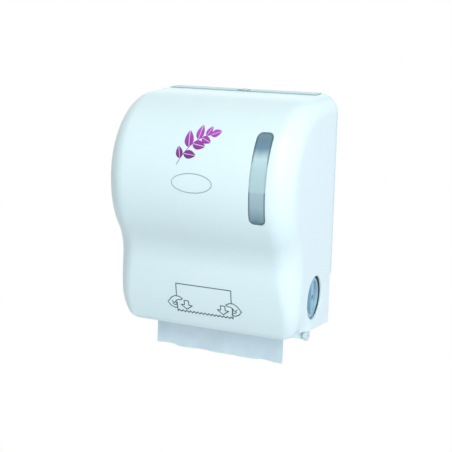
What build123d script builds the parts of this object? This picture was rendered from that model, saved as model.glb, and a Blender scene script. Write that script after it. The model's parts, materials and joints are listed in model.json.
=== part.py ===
from build123d import *
import os
from math import asin, atan2, cos, degrees, hypot, radians, sin, sqrt

# Auto-cut roll paper towel dispenser, wall-mounted. All sizes are in millimetres.
# X runs to the right as a user faces the front, Y runs towards the wall, so the front is at -Y, and Z is up.
# Heights are written from the lowest rear corner of the case. save() then lowers every piece, so that the
# origin of the finished part is the centre of the four wall screws, on the wall's face.

# ---------------------------------------------------------------- driving dimensions
# Case
case_width = 295.0
side_room = 41.5                # between each side of the case and the paper, for the frames, the knob and the crank
cover_wall = 2.8
cover_edge_radius = 36.0        # soft edge between the front and each side
top_slope = 0.5                 # degrees, the top falls towards the front
bulge_centre = (-86.4, 237.0)   # the rounded upper front, about the roll
bulge_radius = 125.0
waist_radius = 72.0             # hollow between the bulge and the lower front
lower_front_reach = 173.0       # how far the lower front stands from the wall
lower_front_height = 113.0      # where it stands furthest out
lower_front_radius = 256.0
side_kink = (-100.0, 17.0)      # the lower edge of each side rises to here
lip_underside = 13.5            # height of the cover's bottom lip
lip_back = 141.0                # how far the rear end of the lip stands from the wall
lip_corner_radius = 20.0
lip_break = 2.0                 # the corner breaks out of the front by this much, in a soft edge
cover_back = 5.5                # how far the cover's rear edge stands from the wall
foot_reach = 60.0               # the outline is drawn this far below the case, before its underside is cut

# Rear housing
housing_wall = 3.0
rim_depth = 5.0                 # the rim seen behind the cover's edge
rim_corner_radius = 28.0
rim_foot = 82.0                 # below this height the housing is narrower
flange_depth = 35.0
flange_wall = 2.5
flange_gap = 1.5                # between the flange and the cover's inside
flange_foot = 8.0
ledge_inset = 26.8              # between each side of the case and the ledge
ledge_depth = 28.0
ledge_rise = 0.84124            # the ledge stands this far above the cover's rear edge
ledge_gap = 1.5
lock_bay_width = 70.0
wall_screw_spacing = (180.0, 180.0)
wall_screw_height = 225.0       # centre of the four wall screws
wall_screw_hole_radius = 3.0
wall_boss_radius = 9.0
wall_boss_height = 2.0

# Cover hinge
hinge_axis = (-98.0, 9.5)
hinge_pin_radius = 3.0
hinge_pin_head_radius = 5.0
hinge_pin_head = 2.0
lug_radius = 9.0
lug_wall = 6.0
lug_rise = 2.0                  # the lug arm stays this far above the cover's lower edge
lug_rear_height = 44.0
lug_front_height = 29.0
lug_gap = 1.7                   # between the lug and the cover's inside
lug_knee = 46.0                 # how far from the wall the lug's rear slope ends
ear_radius = 7.5
ear_wall = 6.5
ear_gap = 0.5
ear_root_height = 12.0
ear_root_length = 12.0

# Fits
running_gap = 0.05              # radial, shafts in their holes
small_gap = 0.4                 # between pieces that pass each other
clearance = 0.3

# Level window
window_inset = 50.8             # between the case's right side and the middle of the window
window_height = 262.5           # of its middle
window_size = (24.6, 125.0)
window_corner = 8.0
window_recess = 0.7
window_flange = 4.0
window_flange_wall = 1.2

# Lock, in the ledge
lock_axis = (0.0, -15.0)        # X and Y
lock_barrel_radius = 8.5
lock_barrel_length = 20.0
lock_rim_radius = 10.0
lock_rim_height = 1.2
lock_plug_radius = 6.5
key_slot = (8.0, 2.2, 3.0)
cam_length = 24.0
cam_width = 9.0
cam_wall = 2.5
cam_square = 5.0
cam_screw_radius = 4.5
cam_screw_length = 3.0
hook_width = 12.0
hook_wall = 3.0
hook_reach = 6.0                # how far the hook's rear rib stands from the wall
hook_rib_drop = 15.0
hook_drop = 11.75876            # the hook's arm lies this far below the cover's rear edge
hook_foot_length = 24.0
strike_gap = 1.0

# Roll and its arms
roll_axis = (-108.0, 244.0)
roll_radius = 37.0
core_radius = 22.0
core_wall = 2.0
arm_pin_y = -14.0
arm_pin_radius = 2.5
arm_pin_overhang = 2.0
arm_wall = 3.2
arm_end_radius = 18.0
arm_root_radius = 6.0
arm_root_height = 26.0
arm_lug_wall = 5.0
arm_lug_gap = 0.8
hub_flange_radius = 26.0
hub_flange_wall = 3.0
hub_plug_length = 10.0
hub_plug_taper = 3.0
hub_plug_gap = 0.7
hub_stub_radius = 4.0
hub_clip_radius = 7.0
hub_clip_wall = 1.5

# Drum, shaft and knob
drum_axis = (-82.5, 64.5)
drum_radius = 42.0
drum_wall = 3.0
drum_overhang = 1.0             # the drum reaches this far past the paper at each end
drum_end_wall = 4.0
shaft_radius = 6.0
bush_radius = 9.0
bush_flange_radius = 12.0
bush_flange_wall = 1.5
grip_count = 5
grip_width = 14.0
grip_groove = 0.8
grip_height = 1.2
knob_radius = 31.5
knob_hole_radius = 33.4
knob_sink = 0.4                 # the knob's face lies this far inside the cover's inner side
knob_depth = 15.0
knob_wall = 3.0
knob_dish_radius = 25.0
knob_dish_depth = 7.0
knob_bar_width = 13.0
knob_hub_radius = 11.0
knob_screw_radius = 4.0

# Knife, in the drum. Its places are along and across the direction of the slot's edge.
slot_angle = -65.0              # direction of the knife, degrees from +Y towards +Z
knife_pivot_inset = 20.0        # the knife's pivot lies this far inside the drum's radius, along that direction
knife_pivot_side = 25.0         # and this far to one side of it
knife_tip_inset = 2.5           # the same for the tips of the teeth
knife_tip_side = 2.0
knife_swing = 22.0
slot_start = -33.0              # the slot's edges, degrees from the slot's direction
slot_end = 4.0
knife_rod_radius = 2.0
knife_boss_radius = 4.0
knife_end_gap = 4.0             # between the knife's ends and the drum's end walls
blade_wall = 1.0
holder_wall = 2.2
holder_reach = 14.0
tooth_pitch = 6.0
tooth_depth = 4.0

# Left end: crank, pawl and spring
crank_radius = 26.0
crank_wall = 4.0
crank_throw = 18.0
crank_angle = 210.0
crank_pin_radius = 3.0
crank_pin_length = 8.0
pawl_pivot = (-50.0, 100.0)
pawl_angle = 20.0
pawl_swing = 12.0
pawl_radius = 6.0
pawl_pin_radius = 3.0
pawl_tip_width = 6.0
pawl_notch_radius = 4.0
spring_anchor = (-22.0, 40.0)
spring_radius = 3.5
spring_end_gap = 4.5
gear_cover_wall = 2.0
gear_cover_gap = 1.0            # between the gear cover and the hinge lug
gear_cover_corners = ((-118.0, 34.0), (-14.0, 26.0), (-14.0, 112.0), (-112.0, 112.0), (-118.0, 98.0))

# Side frames
frame_gap = 7.0                 # between the drum's ends and the side frames
frame_wall = 3.0
frame_foot_width = 14.0
frame_foot_low = 18.0
frame_top = 134.0
frame_foot_heights = (28.0, 122.0)
frame_corners = ((-46.0, 138.0), (-96.0, 124.0), (-136.0, 92.0), (-136.0, 36.0), (-114.0, 14.0))
tie_bar_radius = 4.0
tie_bar_places = ((-24.0, 24.0), (-22.0, 104.0))
screw_head_radius = 4.5
screw_head_height = 2.4
screw_radius = 2.0

# Pinch roller and its carrier
pinch_angle = 84.0
pinch_radius = 8.0
pinch_axle_radius = 3.0
pinch_count = 4
pinch_end_gap = 2.0             # between the outer rollers and the paper's edges
pinch_gap = 8.0                 # between neighbouring rollers
carrier_pivot = (-40.0, 128.0)
carrier_rod_radius = 3.0
carrier_tube_radius = 5.5
carrier_arm_wall = 3.0
carrier_side_gap = 5.0          # between the carrier's arms and the side frames' insides
carrier_lift = 4.0
carrier_end_radius = 6.0
coil_outer_radius = 8.0
coil_length = 16.0

# Front paper guide and the paper
guide_gap = 9.0
guide_wall = 2.5
guide_start = 150.0
guide_end = 212.0
guide_lip = (-107.5, 18.5)
guide_bead_radius = 2.5
paper_wall = 0.5
tail_low_left = -37.0
tail_low_right = -41.0

# ---------------------------------------------------------------- worked out from them
half_width = case_width / 2
inner_half = half_width - cover_wall
paper_width = case_width - 2 * side_room
roll_width = paper_width
drum_length = paper_width + 2 * drum_overhang
knife_length = drum_length - 2 * (drum_end_wall + knife_end_gap)
frame_inside = drum_length / 2 + frame_gap
carrier_arm_inside = frame_inside - carrier_side_gap
pinch_pitch = (paper_width - 2 * pinch_end_gap) / pinch_count
pinch_width = pinch_pitch - pinch_gap
lug_outside = inner_half - lug_gap
knob_face = inner_half - knob_sink
ledge_width = case_width - 2 * ledge_inset
window_centre = (half_width - window_inset, window_height)
flange_corner = cover_edge_radius - cover_wall - flange_gap
band_radius = drum_radius - grip_groove + grip_height
rim_top = bulge_centre[1] + (bulge_radius - bulge_centre[0] * sin(radians(top_slope))) / cos(radians(top_slope))
pinch_axis = (
    drum_axis[0] + (band_radius + pinch_radius + small_gap) * cos(radians(pinch_angle)),
    drum_axis[1] + (band_radius + pinch_radius + small_gap) * sin(radians(pinch_angle)),
)
arm_inside = roll_width / 2 + hub_flange_wall + clearance * 2 + small_gap
arm_outside = arm_inside + arm_wall
frame_outside = frame_inside + frame_wall
crank_inside = frame_outside + bush_flange_wall + 2.5
crank_outside = crank_inside + crank_wall
lug_inside = lug_outside - lug_wall
gear_cover_outside = lug_inside - gear_cover_gap
ear_outside = lug_inside - ear_gap
ear_inside = ear_outside - ear_wall
flange_top = rim_top - flange_depth * sin(radians(top_slope)) - cover_wall - flange_gap
flange_half = inner_half - flange_gap
tail_front = guide_lip[0] + guide_bead_radius
ledge_top = rim_top + ledge_rise
hook_arm_top = rim_top - hook_drop
lock_base = ledge_top - lock_barrel_length
knife_pivot = (drum_radius - knife_pivot_inset, -knife_pivot_side)
knife_tip = (drum_radius - knife_tip_inset, -knife_tip_side)
guide_radius = drum_radius + guide_gap


# ---------------------------------------------------------------- helpers
def save(node, *shapes):
    """Write one sub-part to its own file, in the finished part's frame."""
    lowered = Location((0, 0, -wall_screw_height))
    solids = [solid.moved(lowered) for shape in shapes for solid in shape.solids()]
    export_step(solids[0] if len(solids) == 1 else Compound(children=solids), f"parts/{node}.step")


def side_prism(outline, x_low, x_high):
    """A closed side outline of (Y, Z) points or edges, given thickness from x_low to x_high."""
    edges = outline if isinstance(outline[0], Edge) else Polyline(*outline, close=True).edges()
    sketch = Plane.YZ.offset(x_low) * make_face(edges)
    return extrude(sketch, amount=x_high - x_low, dir=(1, 0, 0))


def rod(axis, radius, x_low, x_high):
    """A round bar along X, with its axis at (Y, Z)."""
    return Solid.make_cylinder(radius, x_high - x_low,
                               Plane((x_low, axis[0], axis[1]), x_dir=(0, 1, 0), z_dir=(1, 0, 0)))


def post(axis, radius, z_low, z_high):
    """A round bar along Z, with its axis at (X, Y)."""
    return Solid.make_cylinder(radius, z_high - z_low, Plane((axis[0], axis[1], z_low)))


def stud(axis, radius, y_low, y_high):
    """A round bar along Y, with its axis at (X, Z)."""
    return Solid.make_cylinder(radius, y_high - y_low,
                               Plane((axis[0], y_low, axis[1]), x_dir=(1, 0, 0), z_dir=(0, 1, 0)))


def block(x_range, y_range, z_range):
    """A box from its lowest to its highest corner."""
    size = [high - low for low, high in (x_range, y_range, z_range)]
    return Solid.make_box(*size, Plane((x_range[0], y_range[0], z_range[0])))


def mirrored(shape):
    """The same piece on the other side."""
    return mirror(shape, about=Plane.YZ)


def polar(centre, radius, angle):
    """The point at a radius and angle from a (Y, Z) centre, the angle from +Y towards +Z."""
    return (centre[0] + radius * cos(radians(angle)), centre[1] + radius * sin(radians(angle)))


def tangent_hull(centre_a, radius_a, centre_b, radius_b, x_low, x_high):
    """Two round ends and the straight flanks between them."""
    away = degrees(atan2(centre_b[1] - centre_a[1], centre_b[0] - centre_a[0]))
    lean = degrees(asin((radius_a - radius_b) / hypot(centre_b[0] - centre_a[0], centre_b[1] - centre_a[1])))
    flank = [polar(centre_a, radius_a, away + 90 - lean), polar(centre_b, radius_b, away + 90 - lean),
             polar(centre_b, radius_b, away - 90 + lean), polar(centre_a, radius_a, away - 90 + lean)]
    return side_prism(flank, x_low, x_high) + rod(centre_a, radius_a, x_low, x_high) + rod(
        centre_b, radius_b, x_low, x_high)


# ---------------------------------------------------------------- the case's side outline
def front_curve(inset):
    """Edges from the top's rear end down the front, `inset` inside the outer surface, and its lower end."""
    low_centre = (lower_front_radius - lower_front_reach, lower_front_height)
    span = hypot(bulge_centre[0] - low_centre[0], bulge_centre[1] - low_centre[1])
    along = ((bulge_centre[0] - low_centre[0]) / span, (bulge_centre[1] - low_centre[1]) / span)
    reach_low = lower_front_radius + waist_radius
    reach_high = bulge_radius + waist_radius
    foot = (reach_low ** 2 - reach_high ** 2 + span ** 2) / (2 * span)
    rise = sqrt(reach_low ** 2 - foot ** 2)
    waist = (low_centre[0] + foot * along[0] - rise * along[1], low_centre[1] + foot * along[1] + rise * along[0])

    def angle_of(centre, point):
        return degrees(atan2(point[1] - centre[1], point[0] - centre[0])) % 360

    high_join = angle_of(bulge_centre, waist)
    low_join = angle_of(low_centre, waist)
    foot_angle = 180 + degrees(asin((low_centre[1] + foot_reach) / (lower_front_radius - inset)))
    start = polar(bulge_centre, bulge_radius - inset, 90 + top_slope)
    rear = (0.0, start[1] - start[0] * sin(radians(top_slope)) / cos(radians(top_slope)))
    return [
        Edge.make_line((*rear, 0), (*start, 0)),
        arc(bulge_centre, bulge_radius - inset, 90 + top_slope, high_join),
        arc(waist, waist_radius + inset, high_join - 180, low_join - 180),
        arc(low_centre, lower_front_radius - inset, low_join, foot_angle),
    ], polar(low_centre, lower_front_radius - inset, foot_angle)


def arc(centre, radius, start, end):
    """A circular arc in the side outline, given by its end angles."""
    return ThreePointArc(polar(centre, radius, start), polar(centre, radius, (start + end) / 2),
                         polar(centre, radius, end)).edge()


def case_solid(inset):
    """The whole outer form of the case, inset, with soft edges between the front and the sides."""
    edges, low = front_curve(inset)
    rear = edges[0] @ 0
    closing = Polyline((low[0], low[1]), (0, low[1]), (rear.X, rear.Y)).edges()
    body = side_prism(edges + list(closing), -half_width + inset, half_width - inset)
    soft = body.edges().filter_by(
        lambda e: abs(abs(e.center().X) - (half_width - inset)) < 0.01
        and not (e.geom_type == GeomType.LINE and (abs(e.center().Y) < 0.01 or e.center().Z < low[1] + 0.01)))
    return fillet(soft, cover_edge_radius - inset)


def underside(inset):
    """Everything under the case. Its front corner rounds up into the lower front, and breaks out of it."""
    low_centre = (lower_front_radius - lower_front_reach, lower_front_height)
    radius = lip_corner_radius - inset
    floor = lip_underside + inset
    drop = low_centre[1] - (floor + radius)
    reach = lower_front_radius - inset - radius + lip_break
    corner = (low_centre[0] - sqrt(reach ** 2 - drop ** 2), floor + radius)
    turn = degrees(atan2(corner[1] - low_centre[1], corner[0] - low_centre[0])) % 360
    tip = polar(corner, radius, turn)
    outside = (tip[0] - lip_corner_radius, tip[1])
    kink = (side_kink[0], side_kink[1] + inset)
    behind = (cover_back, inset + side_kink[1] / side_kink[0] * cover_back)
    below = -2 * foot_reach
    edges = [
        *Polyline((outside[0], below), (behind[0], below), behind, kink, (-lip_back, floor),
                  (corner[0], floor)).edges(),
        arc(corner, radius, 270, turn),
        *Polyline(tip, outside, (outside[0], below)).edges(),
    ]
    return side_prism(edges, -case_width, case_width)


# ---------------------------------------------------------------- cover
def window_slot(grow):
    """The level window's outline as a bar through the front, grown by `grow` on each side."""
    size = [side + 2 * grow for side in window_size]
    face = Plane((window_centre[0], -lower_front_reach, window_centre[1]), x_dir=(1, 0, 0),
                 z_dir=(0, -1, 0)) * RectangleRounded(*size, window_corner + grow)
    return extrude(face, amount=bulge_radius / 2, dir=(0, -1, 0)) + extrude(
        face, amount=cover_edge_radius, dir=(0, 1, 0))


def front_cover():
    """The swinging cover: a shell open at the rear and underneath, with a lip along the front."""
    outer = case_solid(0) - underside(0)
    inner = case_solid(cover_wall) - underside(cover_wall)
    way_out = block((-inner_half, inner_half), (-lip_back, lip_back), (-foot_reach, 2 * side_kink[1]))
    shell = outer - inner - way_out
    shell -= block((-case_width, case_width), (-cover_back, cover_back), (-foot_reach, 2 * ledge_top))
    notch_half = ledge_width / 2 + ledge_gap
    shell -= block((-notch_half, notch_half), (-ledge_depth - ledge_gap, ledge_depth),
                   (ledge_top - cover_edge_radius / 2, 2 * ledge_top))
    shell -= rod(drum_axis, knob_hole_radius, inner_half - cover_wall, half_width + cover_wall)
    shell -= window_slot(0)
    for ear in cover_ears():
        shell += ear & case_solid(cover_wall / 2)
    return shell


def cover_ears():
    """The two hinge ears that reach back from the lip to the hinge axis, inside the housing's lugs."""
    root_low = lip_underside + cover_wall / 2
    root_high = lip_underside + ear_root_height
    root_front = -lip_back - ear_root_length
    outline = [(root_front, root_low), (root_front, root_high), (-lip_back, root_high),
               (hinge_axis[0], hinge_axis[1] + ear_radius), (hinge_axis[0], hinge_axis[1] - ear_radius),
               (-lip_back, root_low)]
    ear = side_prism(outline, ear_inside, ear_outside)
    ear += rod(hinge_axis, ear_radius, ear_inside, ear_outside)
    ear -= rod(hinge_axis, hinge_pin_radius + running_gap, ear_inside - 1, ear_outside + 1)
    ear = ear
    return [ear, mirrored(ear)]


def level_window():
    """The clear window: a plug in the slot, flush-mounted, with a flange behind the cover's wall."""
    plug = (case_solid(window_recess) - case_solid(cover_wall + small_gap)) & window_slot(-clearance / 2)
    back = case_solid(cover_wall + clearance / 10) - case_solid(cover_wall + window_flange_wall)
    flange = back & window_slot(window_flange)
    return plug + flange


def strike_hook():
    """The hook under the cover's top that the lock's cam holds."""
    x_low = lock_axis[0] + cam_length - hook_width
    x_high = x_low + hook_width
    arm_low = hook_arm_top - hook_wall
    foot_back = -ledge_depth - 2 * ledge_gap
    arm = block((x_low, x_high), (foot_back - hook_foot_length, -hook_reach), (arm_low, hook_arm_top))
    rib = block((x_low, x_high), (-hook_reach - hook_wall, -hook_reach),
                (hook_arm_top - hook_rib_drop, hook_arm_top))
    riser = block((x_low, x_high), (foot_back - hook_foot_length, foot_back), (hook_arm_top, rim_top))
    hook = arm + rib + riser
    return hook & case_solid(cover_wall)


# ---------------------------------------------------------------- rear housing
def rear_housing():
    """The wall plate with its rim, inner flange, top ledge, hinge lugs and roll-arm lugs."""
    return wall_plate() + inner_flange() + top_ledge() + hinge_lugs() + arm_lugs() - wall_holes()


def wall_plate():
    """The back plate, full width above the foot of the rim."""
    top = rim_top - clearance
    face = Plane.XZ * RectangleRounded(case_width, 2 * (top - rim_foot), rim_corner_radius)
    wide = extrude(face, amount=rim_depth, dir=(0, -1, 0)).moved(Location((0, 0, rim_foot)))
    wide = wide & block((-half_width, half_width), (-rim_depth, 0), (rim_foot, top))
    hollow = flange_bar(0, rim_depth) - block((-half_width, half_width), (-housing_wall, 0), (0, top))
    narrow = block((-flange_half, flange_half), (-housing_wall, 0), (lug_rise, rim_foot))
    plate = wide - hollow + narrow
    for x_side in (-1, 1):
        for z_side in (-1, 1):
            centre = (x_side * wall_screw_spacing[0] / 2, wall_screw_height + z_side * wall_screw_spacing[1] / 2)
            plate += stud(centre, wall_boss_radius, -housing_wall - wall_boss_height, 0)
    return plate


def flange_bar(shrink, depth):
    """The flange's rounded outline as a bar from the wall, shrunk all round."""
    height = flange_top - flange_foot
    face = Plane.XZ * RectangleRounded(2 * (flange_half - shrink), height - 2 * shrink, flange_corner - shrink)
    return extrude(face, amount=depth, dir=(0, -1, 0)).moved(Location((0, 0, flange_foot + height / 2)))


def inner_flange():
    """The stiffening flange that stands inside the cover, open at the top for the lock."""
    ring = flange_bar(0, flange_depth) - flange_bar(flange_wall, flange_depth)
    ring -= block((-half_width, half_width), (-housing_wall, 0), (0, rim_top))
    bay = block((-lock_bay_width / 2, lock_bay_width / 2), (-2 * flange_depth, -housing_wall),
                (flange_top - 2 * flange_wall, 2 * flange_top))
    return ring - bay


def top_ledge():
    """The raised ledge in the top of the case, which holds the lock."""
    half = ledge_width / 2
    shelf = block((-half, half), (-ledge_depth, 0), (ledge_top - housing_wall, ledge_top))
    for x_low in (-half, half - flange_wall):
        shelf += block((x_low, x_low + flange_wall), (-ledge_depth, 0), (flange_top - flange_wall, ledge_top))
    return shelf - post(lock_axis, lock_barrel_radius, lock_base, ledge_top + lock_rim_height)


def hinge_lugs():
    """The arms along the bottom of both sides that carry the hinge pins."""
    slope = side_kink[1] / side_kink[0]
    neck = hinge_axis[0] + lug_radius
    root = -housing_wall / 3
    outline = [(root, lug_rise), (root, lug_rear_height), (-housing_wall, lug_rear_height),
               (-lug_knee, lug_front_height + lug_rise), (hinge_axis[0] - housing_wall, lug_front_height),
               (hinge_axis[0] - lug_radius, hinge_axis[1]), (neck, hinge_axis[1]),
               (neck, slope * neck + lug_rise)]
    lug = side_prism(outline, lug_inside, lug_outside) + rod(hinge_axis, lug_radius, lug_inside, lug_outside)
    lug -= rod(hinge_axis, hinge_pin_radius, lug_inside, lug_outside)
    return lug + mirrored(lug)


def arm_lugs():
    """The pairs of lugs on the plate that the roll arms turn between."""
    middle = (arm_inside + arm_outside) / 2
    gap = arm_root_height / 2 + arm_lug_gap
    lugs = None
    for x_side in (-1, 1):
        for z_low in (roll_axis[1] + gap, roll_axis[1] - gap - arm_lug_wall):
            lug = block((x_side * middle - arm_root_radius, x_side * middle + arm_root_radius),
                        (arm_pin_y, -housing_wall / 2), (z_low, z_low + arm_lug_wall))
            lug += post((x_side * middle, arm_pin_y), arm_root_radius, z_low, z_low + arm_lug_wall)
            lug -= post((x_side * middle, arm_pin_y), arm_pin_radius, z_low - 1, z_low + arm_lug_wall + 1)
            lugs = lug if lugs is None else lugs + lug
    return lugs


def wall_holes():
    """The four wall screw holes."""
    holes = None
    for x_side in (-1, 1):
        for z_side in (-1, 1):
            centre = (x_side * wall_screw_spacing[0] / 2, wall_screw_height + z_side * wall_screw_spacing[1] / 2)
            hole = stud(centre, wall_screw_hole_radius, -2 * housing_wall, housing_wall)
            holes = hole if holes is None else holes + hole
    return holes


def hinge_pin():
    """The right hinge pin, headed on the inside, pressed in the lug and running in the ear."""
    pin = rod(hinge_axis, hinge_pin_radius, ear_inside - clearance, lug_outside)
    head = rod(hinge_axis, hinge_pin_head_radius, ear_inside - clearance - hinge_pin_head, ear_inside - clearance)
    return pin + head


# ---------------------------------------------------------------- lock
def lock_barrel():
    """The lock's fixed barrel, with its rim on the ledge."""
    barrel = post(lock_axis, lock_barrel_radius, lock_base, ledge_top)
    barrel += post(lock_axis, lock_rim_radius, ledge_top, ledge_top + lock_rim_height)
    return barrel - post(lock_axis, lock_plug_radius + running_gap, lock_base - 1, ledge_top + 5)


def lock_plug():
    """The plug that the key turns, with its slot and the square tail for the cam."""
    plug = post(lock_axis, lock_plug_radius, lock_base, ledge_top + lock_rim_height)
    length, width, depth = key_slot
    top = ledge_top + lock_rim_height
    plug -= block((lock_axis[0] - width / 2, lock_axis[0] + width / 2),
                  (lock_axis[1] - length / 2, lock_axis[1] + length / 2), (top - depth, top + 1))
    half = cam_square / 2
    plug += block((lock_axis[0] - half, lock_axis[0] + half), (lock_axis[1] - half, lock_axis[1] + half),
                  (lock_base - cam_wall, lock_base))
    return plug


def lock_cam():
    """The cam on the plug's tail. At rest it points forward, and a quarter turn puts it in the hook's way."""
    x, y = lock_axis
    half = cam_square / 2
    z_low = lock_base - cam_wall
    cam = post(lock_axis, cam_width / 2 + strike_gap, z_low, lock_base)
    cam += block((x - cam_width / 2, x + cam_width / 2 - strike_gap), (y - cam_length, y), (z_low, lock_base))
    cam -= block((x - half, x + half), (y - half, y + half), (z_low - 1, lock_base + 1))
    return cam


def cam_screw():
    """The screw head that keeps the cam on the plug."""
    return post(lock_axis, cam_screw_radius, lock_base - cam_wall - cam_screw_length, lock_base - cam_wall)


# ---------------------------------------------------------------- roll and arms
def roll_arm():
    """The right roll arm: a flat arm from its pin to the hub, with a round end."""
    middle = (arm_inside + arm_outside) / 2
    root_low = roll_axis[1] - arm_root_height / 2
    root_high = roll_axis[1] + arm_root_height / 2
    arm = rod(roll_axis, arm_end_radius, arm_inside, arm_outside)
    arm += side_prism([(arm_pin_y, root_low), (arm_pin_y, root_high),
                       (roll_axis[0], roll_axis[1] + arm_end_radius),
                       (roll_axis[0], roll_axis[1] - arm_end_radius)], arm_inside, arm_outside)
    arm += post((middle, arm_pin_y), arm_root_radius, root_low, root_high)
    arm -= post((middle, arm_pin_y), arm_pin_radius + running_gap, root_low - 1, root_high + 1)
    return arm - rod(roll_axis, hub_stub_radius + running_gap, arm_inside - 1, arm_outside + 1)


def arm_pin():
    """The upright pin of the right roll arm."""
    middle = (arm_inside + arm_outside) / 2
    reach = arm_root_height / 2 + arm_lug_gap + arm_lug_wall + arm_pin_overhang
    return post((middle, arm_pin_y), arm_pin_radius, roll_axis[1] - reach, roll_axis[1] + reach)


def roll_hub():
    """The right hub: a flange against the roll's end, a tapered plug in the core and a stub in the arm."""
    face = roll_width / 2 + clearance
    core_bore = core_radius - core_wall
    plug_radius = core_bore - hub_plug_gap
    hub = rod(roll_axis, hub_flange_radius, face, face + hub_flange_wall)
    hub += rod(roll_axis, hub_stub_radius, face, arm_outside + clearance + hub_clip_wall)
    plane = Plane((face, roll_axis[0], roll_axis[1]), x_dir=(0, 1, 0), z_dir=(-1, 0, 0))
    hub += Solid.make_cone(plug_radius, plug_radius - hub_plug_taper, hub_plug_length, plane)
    return hub


def hub_clip():
    """The ring that keeps the right hub's stub in its arm."""
    x_low = arm_outside + clearance
    clip = rod(roll_axis, hub_clip_radius, x_low, x_low + hub_clip_wall)
    return clip - rod(roll_axis, hub_stub_radius, x_low - 1, x_low + 5)


def ring_along_x(axis, outer, inner, x_low, x_high):
    """A tube along X."""
    return rod(axis, outer, x_low, x_high) - rod(axis, inner, x_low - 1, x_high + 1)


# ---------------------------------------------------------------- drum
def drum_shell(upper):
    """Half of the drum's skin, with its end walls. The front lower half has the knife's slot."""
    half = drum_length / 2
    skin = ring_along_x(drum_axis, drum_radius, drum_radius - drum_wall, -half, half)
    for x_low in (-half, half - drum_end_wall):
        skin += rod(drum_axis, drum_radius - drum_wall, x_low, x_low + drum_end_wall)
    skin -= rod(drum_axis, shaft_radius, -half - 1, half + 1)
    for x_low in grip_places():
        skin -= ring_along_x(drum_axis, drum_radius + 1, drum_radius - grip_groove, x_low, x_low + grip_width)
    skin -= slot_wedge(half - drum_end_wall - 0.5)
    pivot = knife_point(*knife_pivot)
    skin -= rod(pivot, knife_rod_radius, -half - 1, half + 1)
    reach = drum_radius + 5
    low = drum_axis[1] if upper else drum_axis[1] - reach
    keep = block((-half - 1, half + 1), (drum_axis[0] - reach, drum_axis[0] + reach), (low, low + reach))
    return skin & keep


def grip_places():
    """The lower X of each rubber band, evenly spaced along the drum."""
    pitch = (drum_length - 2 * drum_end_wall - grip_width) / (grip_count - 1)
    start = -drum_length / 2 + drum_end_wall
    return [start + index * pitch for index in range(grip_count)]


def slot_wedge(half, margin=0.0):
    """The sector of the drum's skin that is cut away for the knife."""
    centre = drum_axis
    inside = drum_radius - 2 * drum_wall
    outside = band_radius + drum_wall
    first = slot_angle + slot_start - margin
    last = slot_angle + slot_end + margin
    middle = (first + last) / 2
    outline = [polar(centre, inside, first), polar(centre, outside, first), polar(centre, outside * 1.1, middle),
               polar(centre, outside, last), polar(centre, inside, last)]
    return side_prism(outline, -half, half)


def knife_point(along, across):
    """A place in the drum from its distances along and across the knife's direction."""
    direction = radians(slot_angle)
    return (drum_axis[0] + along * cos(direction) - across * sin(direction),
            drum_axis[1] + along * sin(direction) + across * cos(direction))


def grip_bands():
    """The rubber bands round the drum, open at the knife's slot."""
    bands = []
    for x_low in grip_places():
        band = ring_along_x(drum_axis, drum_radius - grip_groove + grip_height, drum_radius - grip_groove,
                            x_low, x_low + grip_width)
        bands.append(band - slot_wedge(drum_length, margin=1.5))
    return bands


def drum_shaft():
    """The steel shaft through the drum, from the crank to the knob."""
    return rod(drum_axis, shaft_radius, -crank_outside, knob_face - knob_dish_depth - knob_wall)


def shaft_bush(side):
    """A flanged bush in a side frame. side is -1 on the left and 1 on the right."""
    bush = rod(drum_axis, bush_radius, frame_inside, frame_outside)
    bush += rod(drum_axis, bush_flange_radius, frame_outside, frame_outside + bush_flange_wall)
    bush = bush - rod(drum_axis, shaft_radius + running_gap, frame_inside - 1, frame_outside + 9)
    return bush if side > 0 else mirrored(bush)


def feed_knob():
    """The round knob in the right side: a cup with a dished face and a grip bar across it."""
    x_low = knob_face - knob_depth
    knob = rod(drum_axis, knob_radius, x_low, knob_face)
    knob = fillet(knob.edges().filter_by(GeomType.CIRCLE).sort_by(Axis.X)[-1], 1.5)
    hollow = ring_along_x(drum_axis, knob_radius - knob_wall, knob_hub_radius,
                          x_low - 1, knob_face - knob_dish_depth - knob_wall)
    dish = rod(drum_axis, knob_dish_radius, knob_face - knob_dish_depth, knob_face + 1)
    bar = block((x_low, half_width), (drum_axis[0] - knob_bar_width / 2, drum_axis[0] + knob_bar_width / 2),
                (drum_axis[1] - knob_radius, drum_axis[1] + knob_radius))
    knob = knob - hollow - (dish - bar)
    bore_end = knob_face - knob_dish_depth - knob_wall
    knob -= rod(drum_axis, shaft_radius, x_low - 1, bore_end)
    return knob - rod(drum_axis, knob_screw_radius, bore_end - 0.01, knob_face + 1)


def knob_screw():
    """The screw that holds the knob on the shaft, sunk in the grip bar."""
    bore_end = knob_face - knob_dish_depth - knob_wall
    return rod(drum_axis, knob_screw_radius, bore_end, knob_face - 1.5)


# ---------------------------------------------------------------- knife
def knife_frame():
    """The knife's pivot point and the unit vectors along it and towards the drum's centre."""
    pivot = knife_point(*knife_pivot)
    tip = knife_point(*knife_tip)
    length = hypot(tip[0] - pivot[0], tip[1] - pivot[1])
    along = ((tip[0] - pivot[0]) / length, (tip[1] - pivot[1]) / length)
    return pivot, along, (-along[1], along[0]), length


def knife_bar():
    """The bar that carries the blade, with the boss that turns on the rod."""
    pivot, along, inward, _ = knife_frame()
    half = knife_length / 2

    def place(distance, offset):
        return (pivot[0] + along[0] * distance + inward[0] * offset,
                pivot[1] + along[1] * distance + inward[1] * offset)

    outline = [place(0, blade_wall / 2), place(holder_reach, blade_wall / 2),
               place(holder_reach, blade_wall / 2 + holder_wall), place(0, blade_wall / 2 + holder_wall)]
    bar = side_prism(outline, -half, half) + rod(pivot, knife_boss_radius, -half, half)
    return bar - rod(pivot, knife_rod_radius + running_gap, -half - 1, half + 1) - blade_sheet(half + 1)


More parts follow.
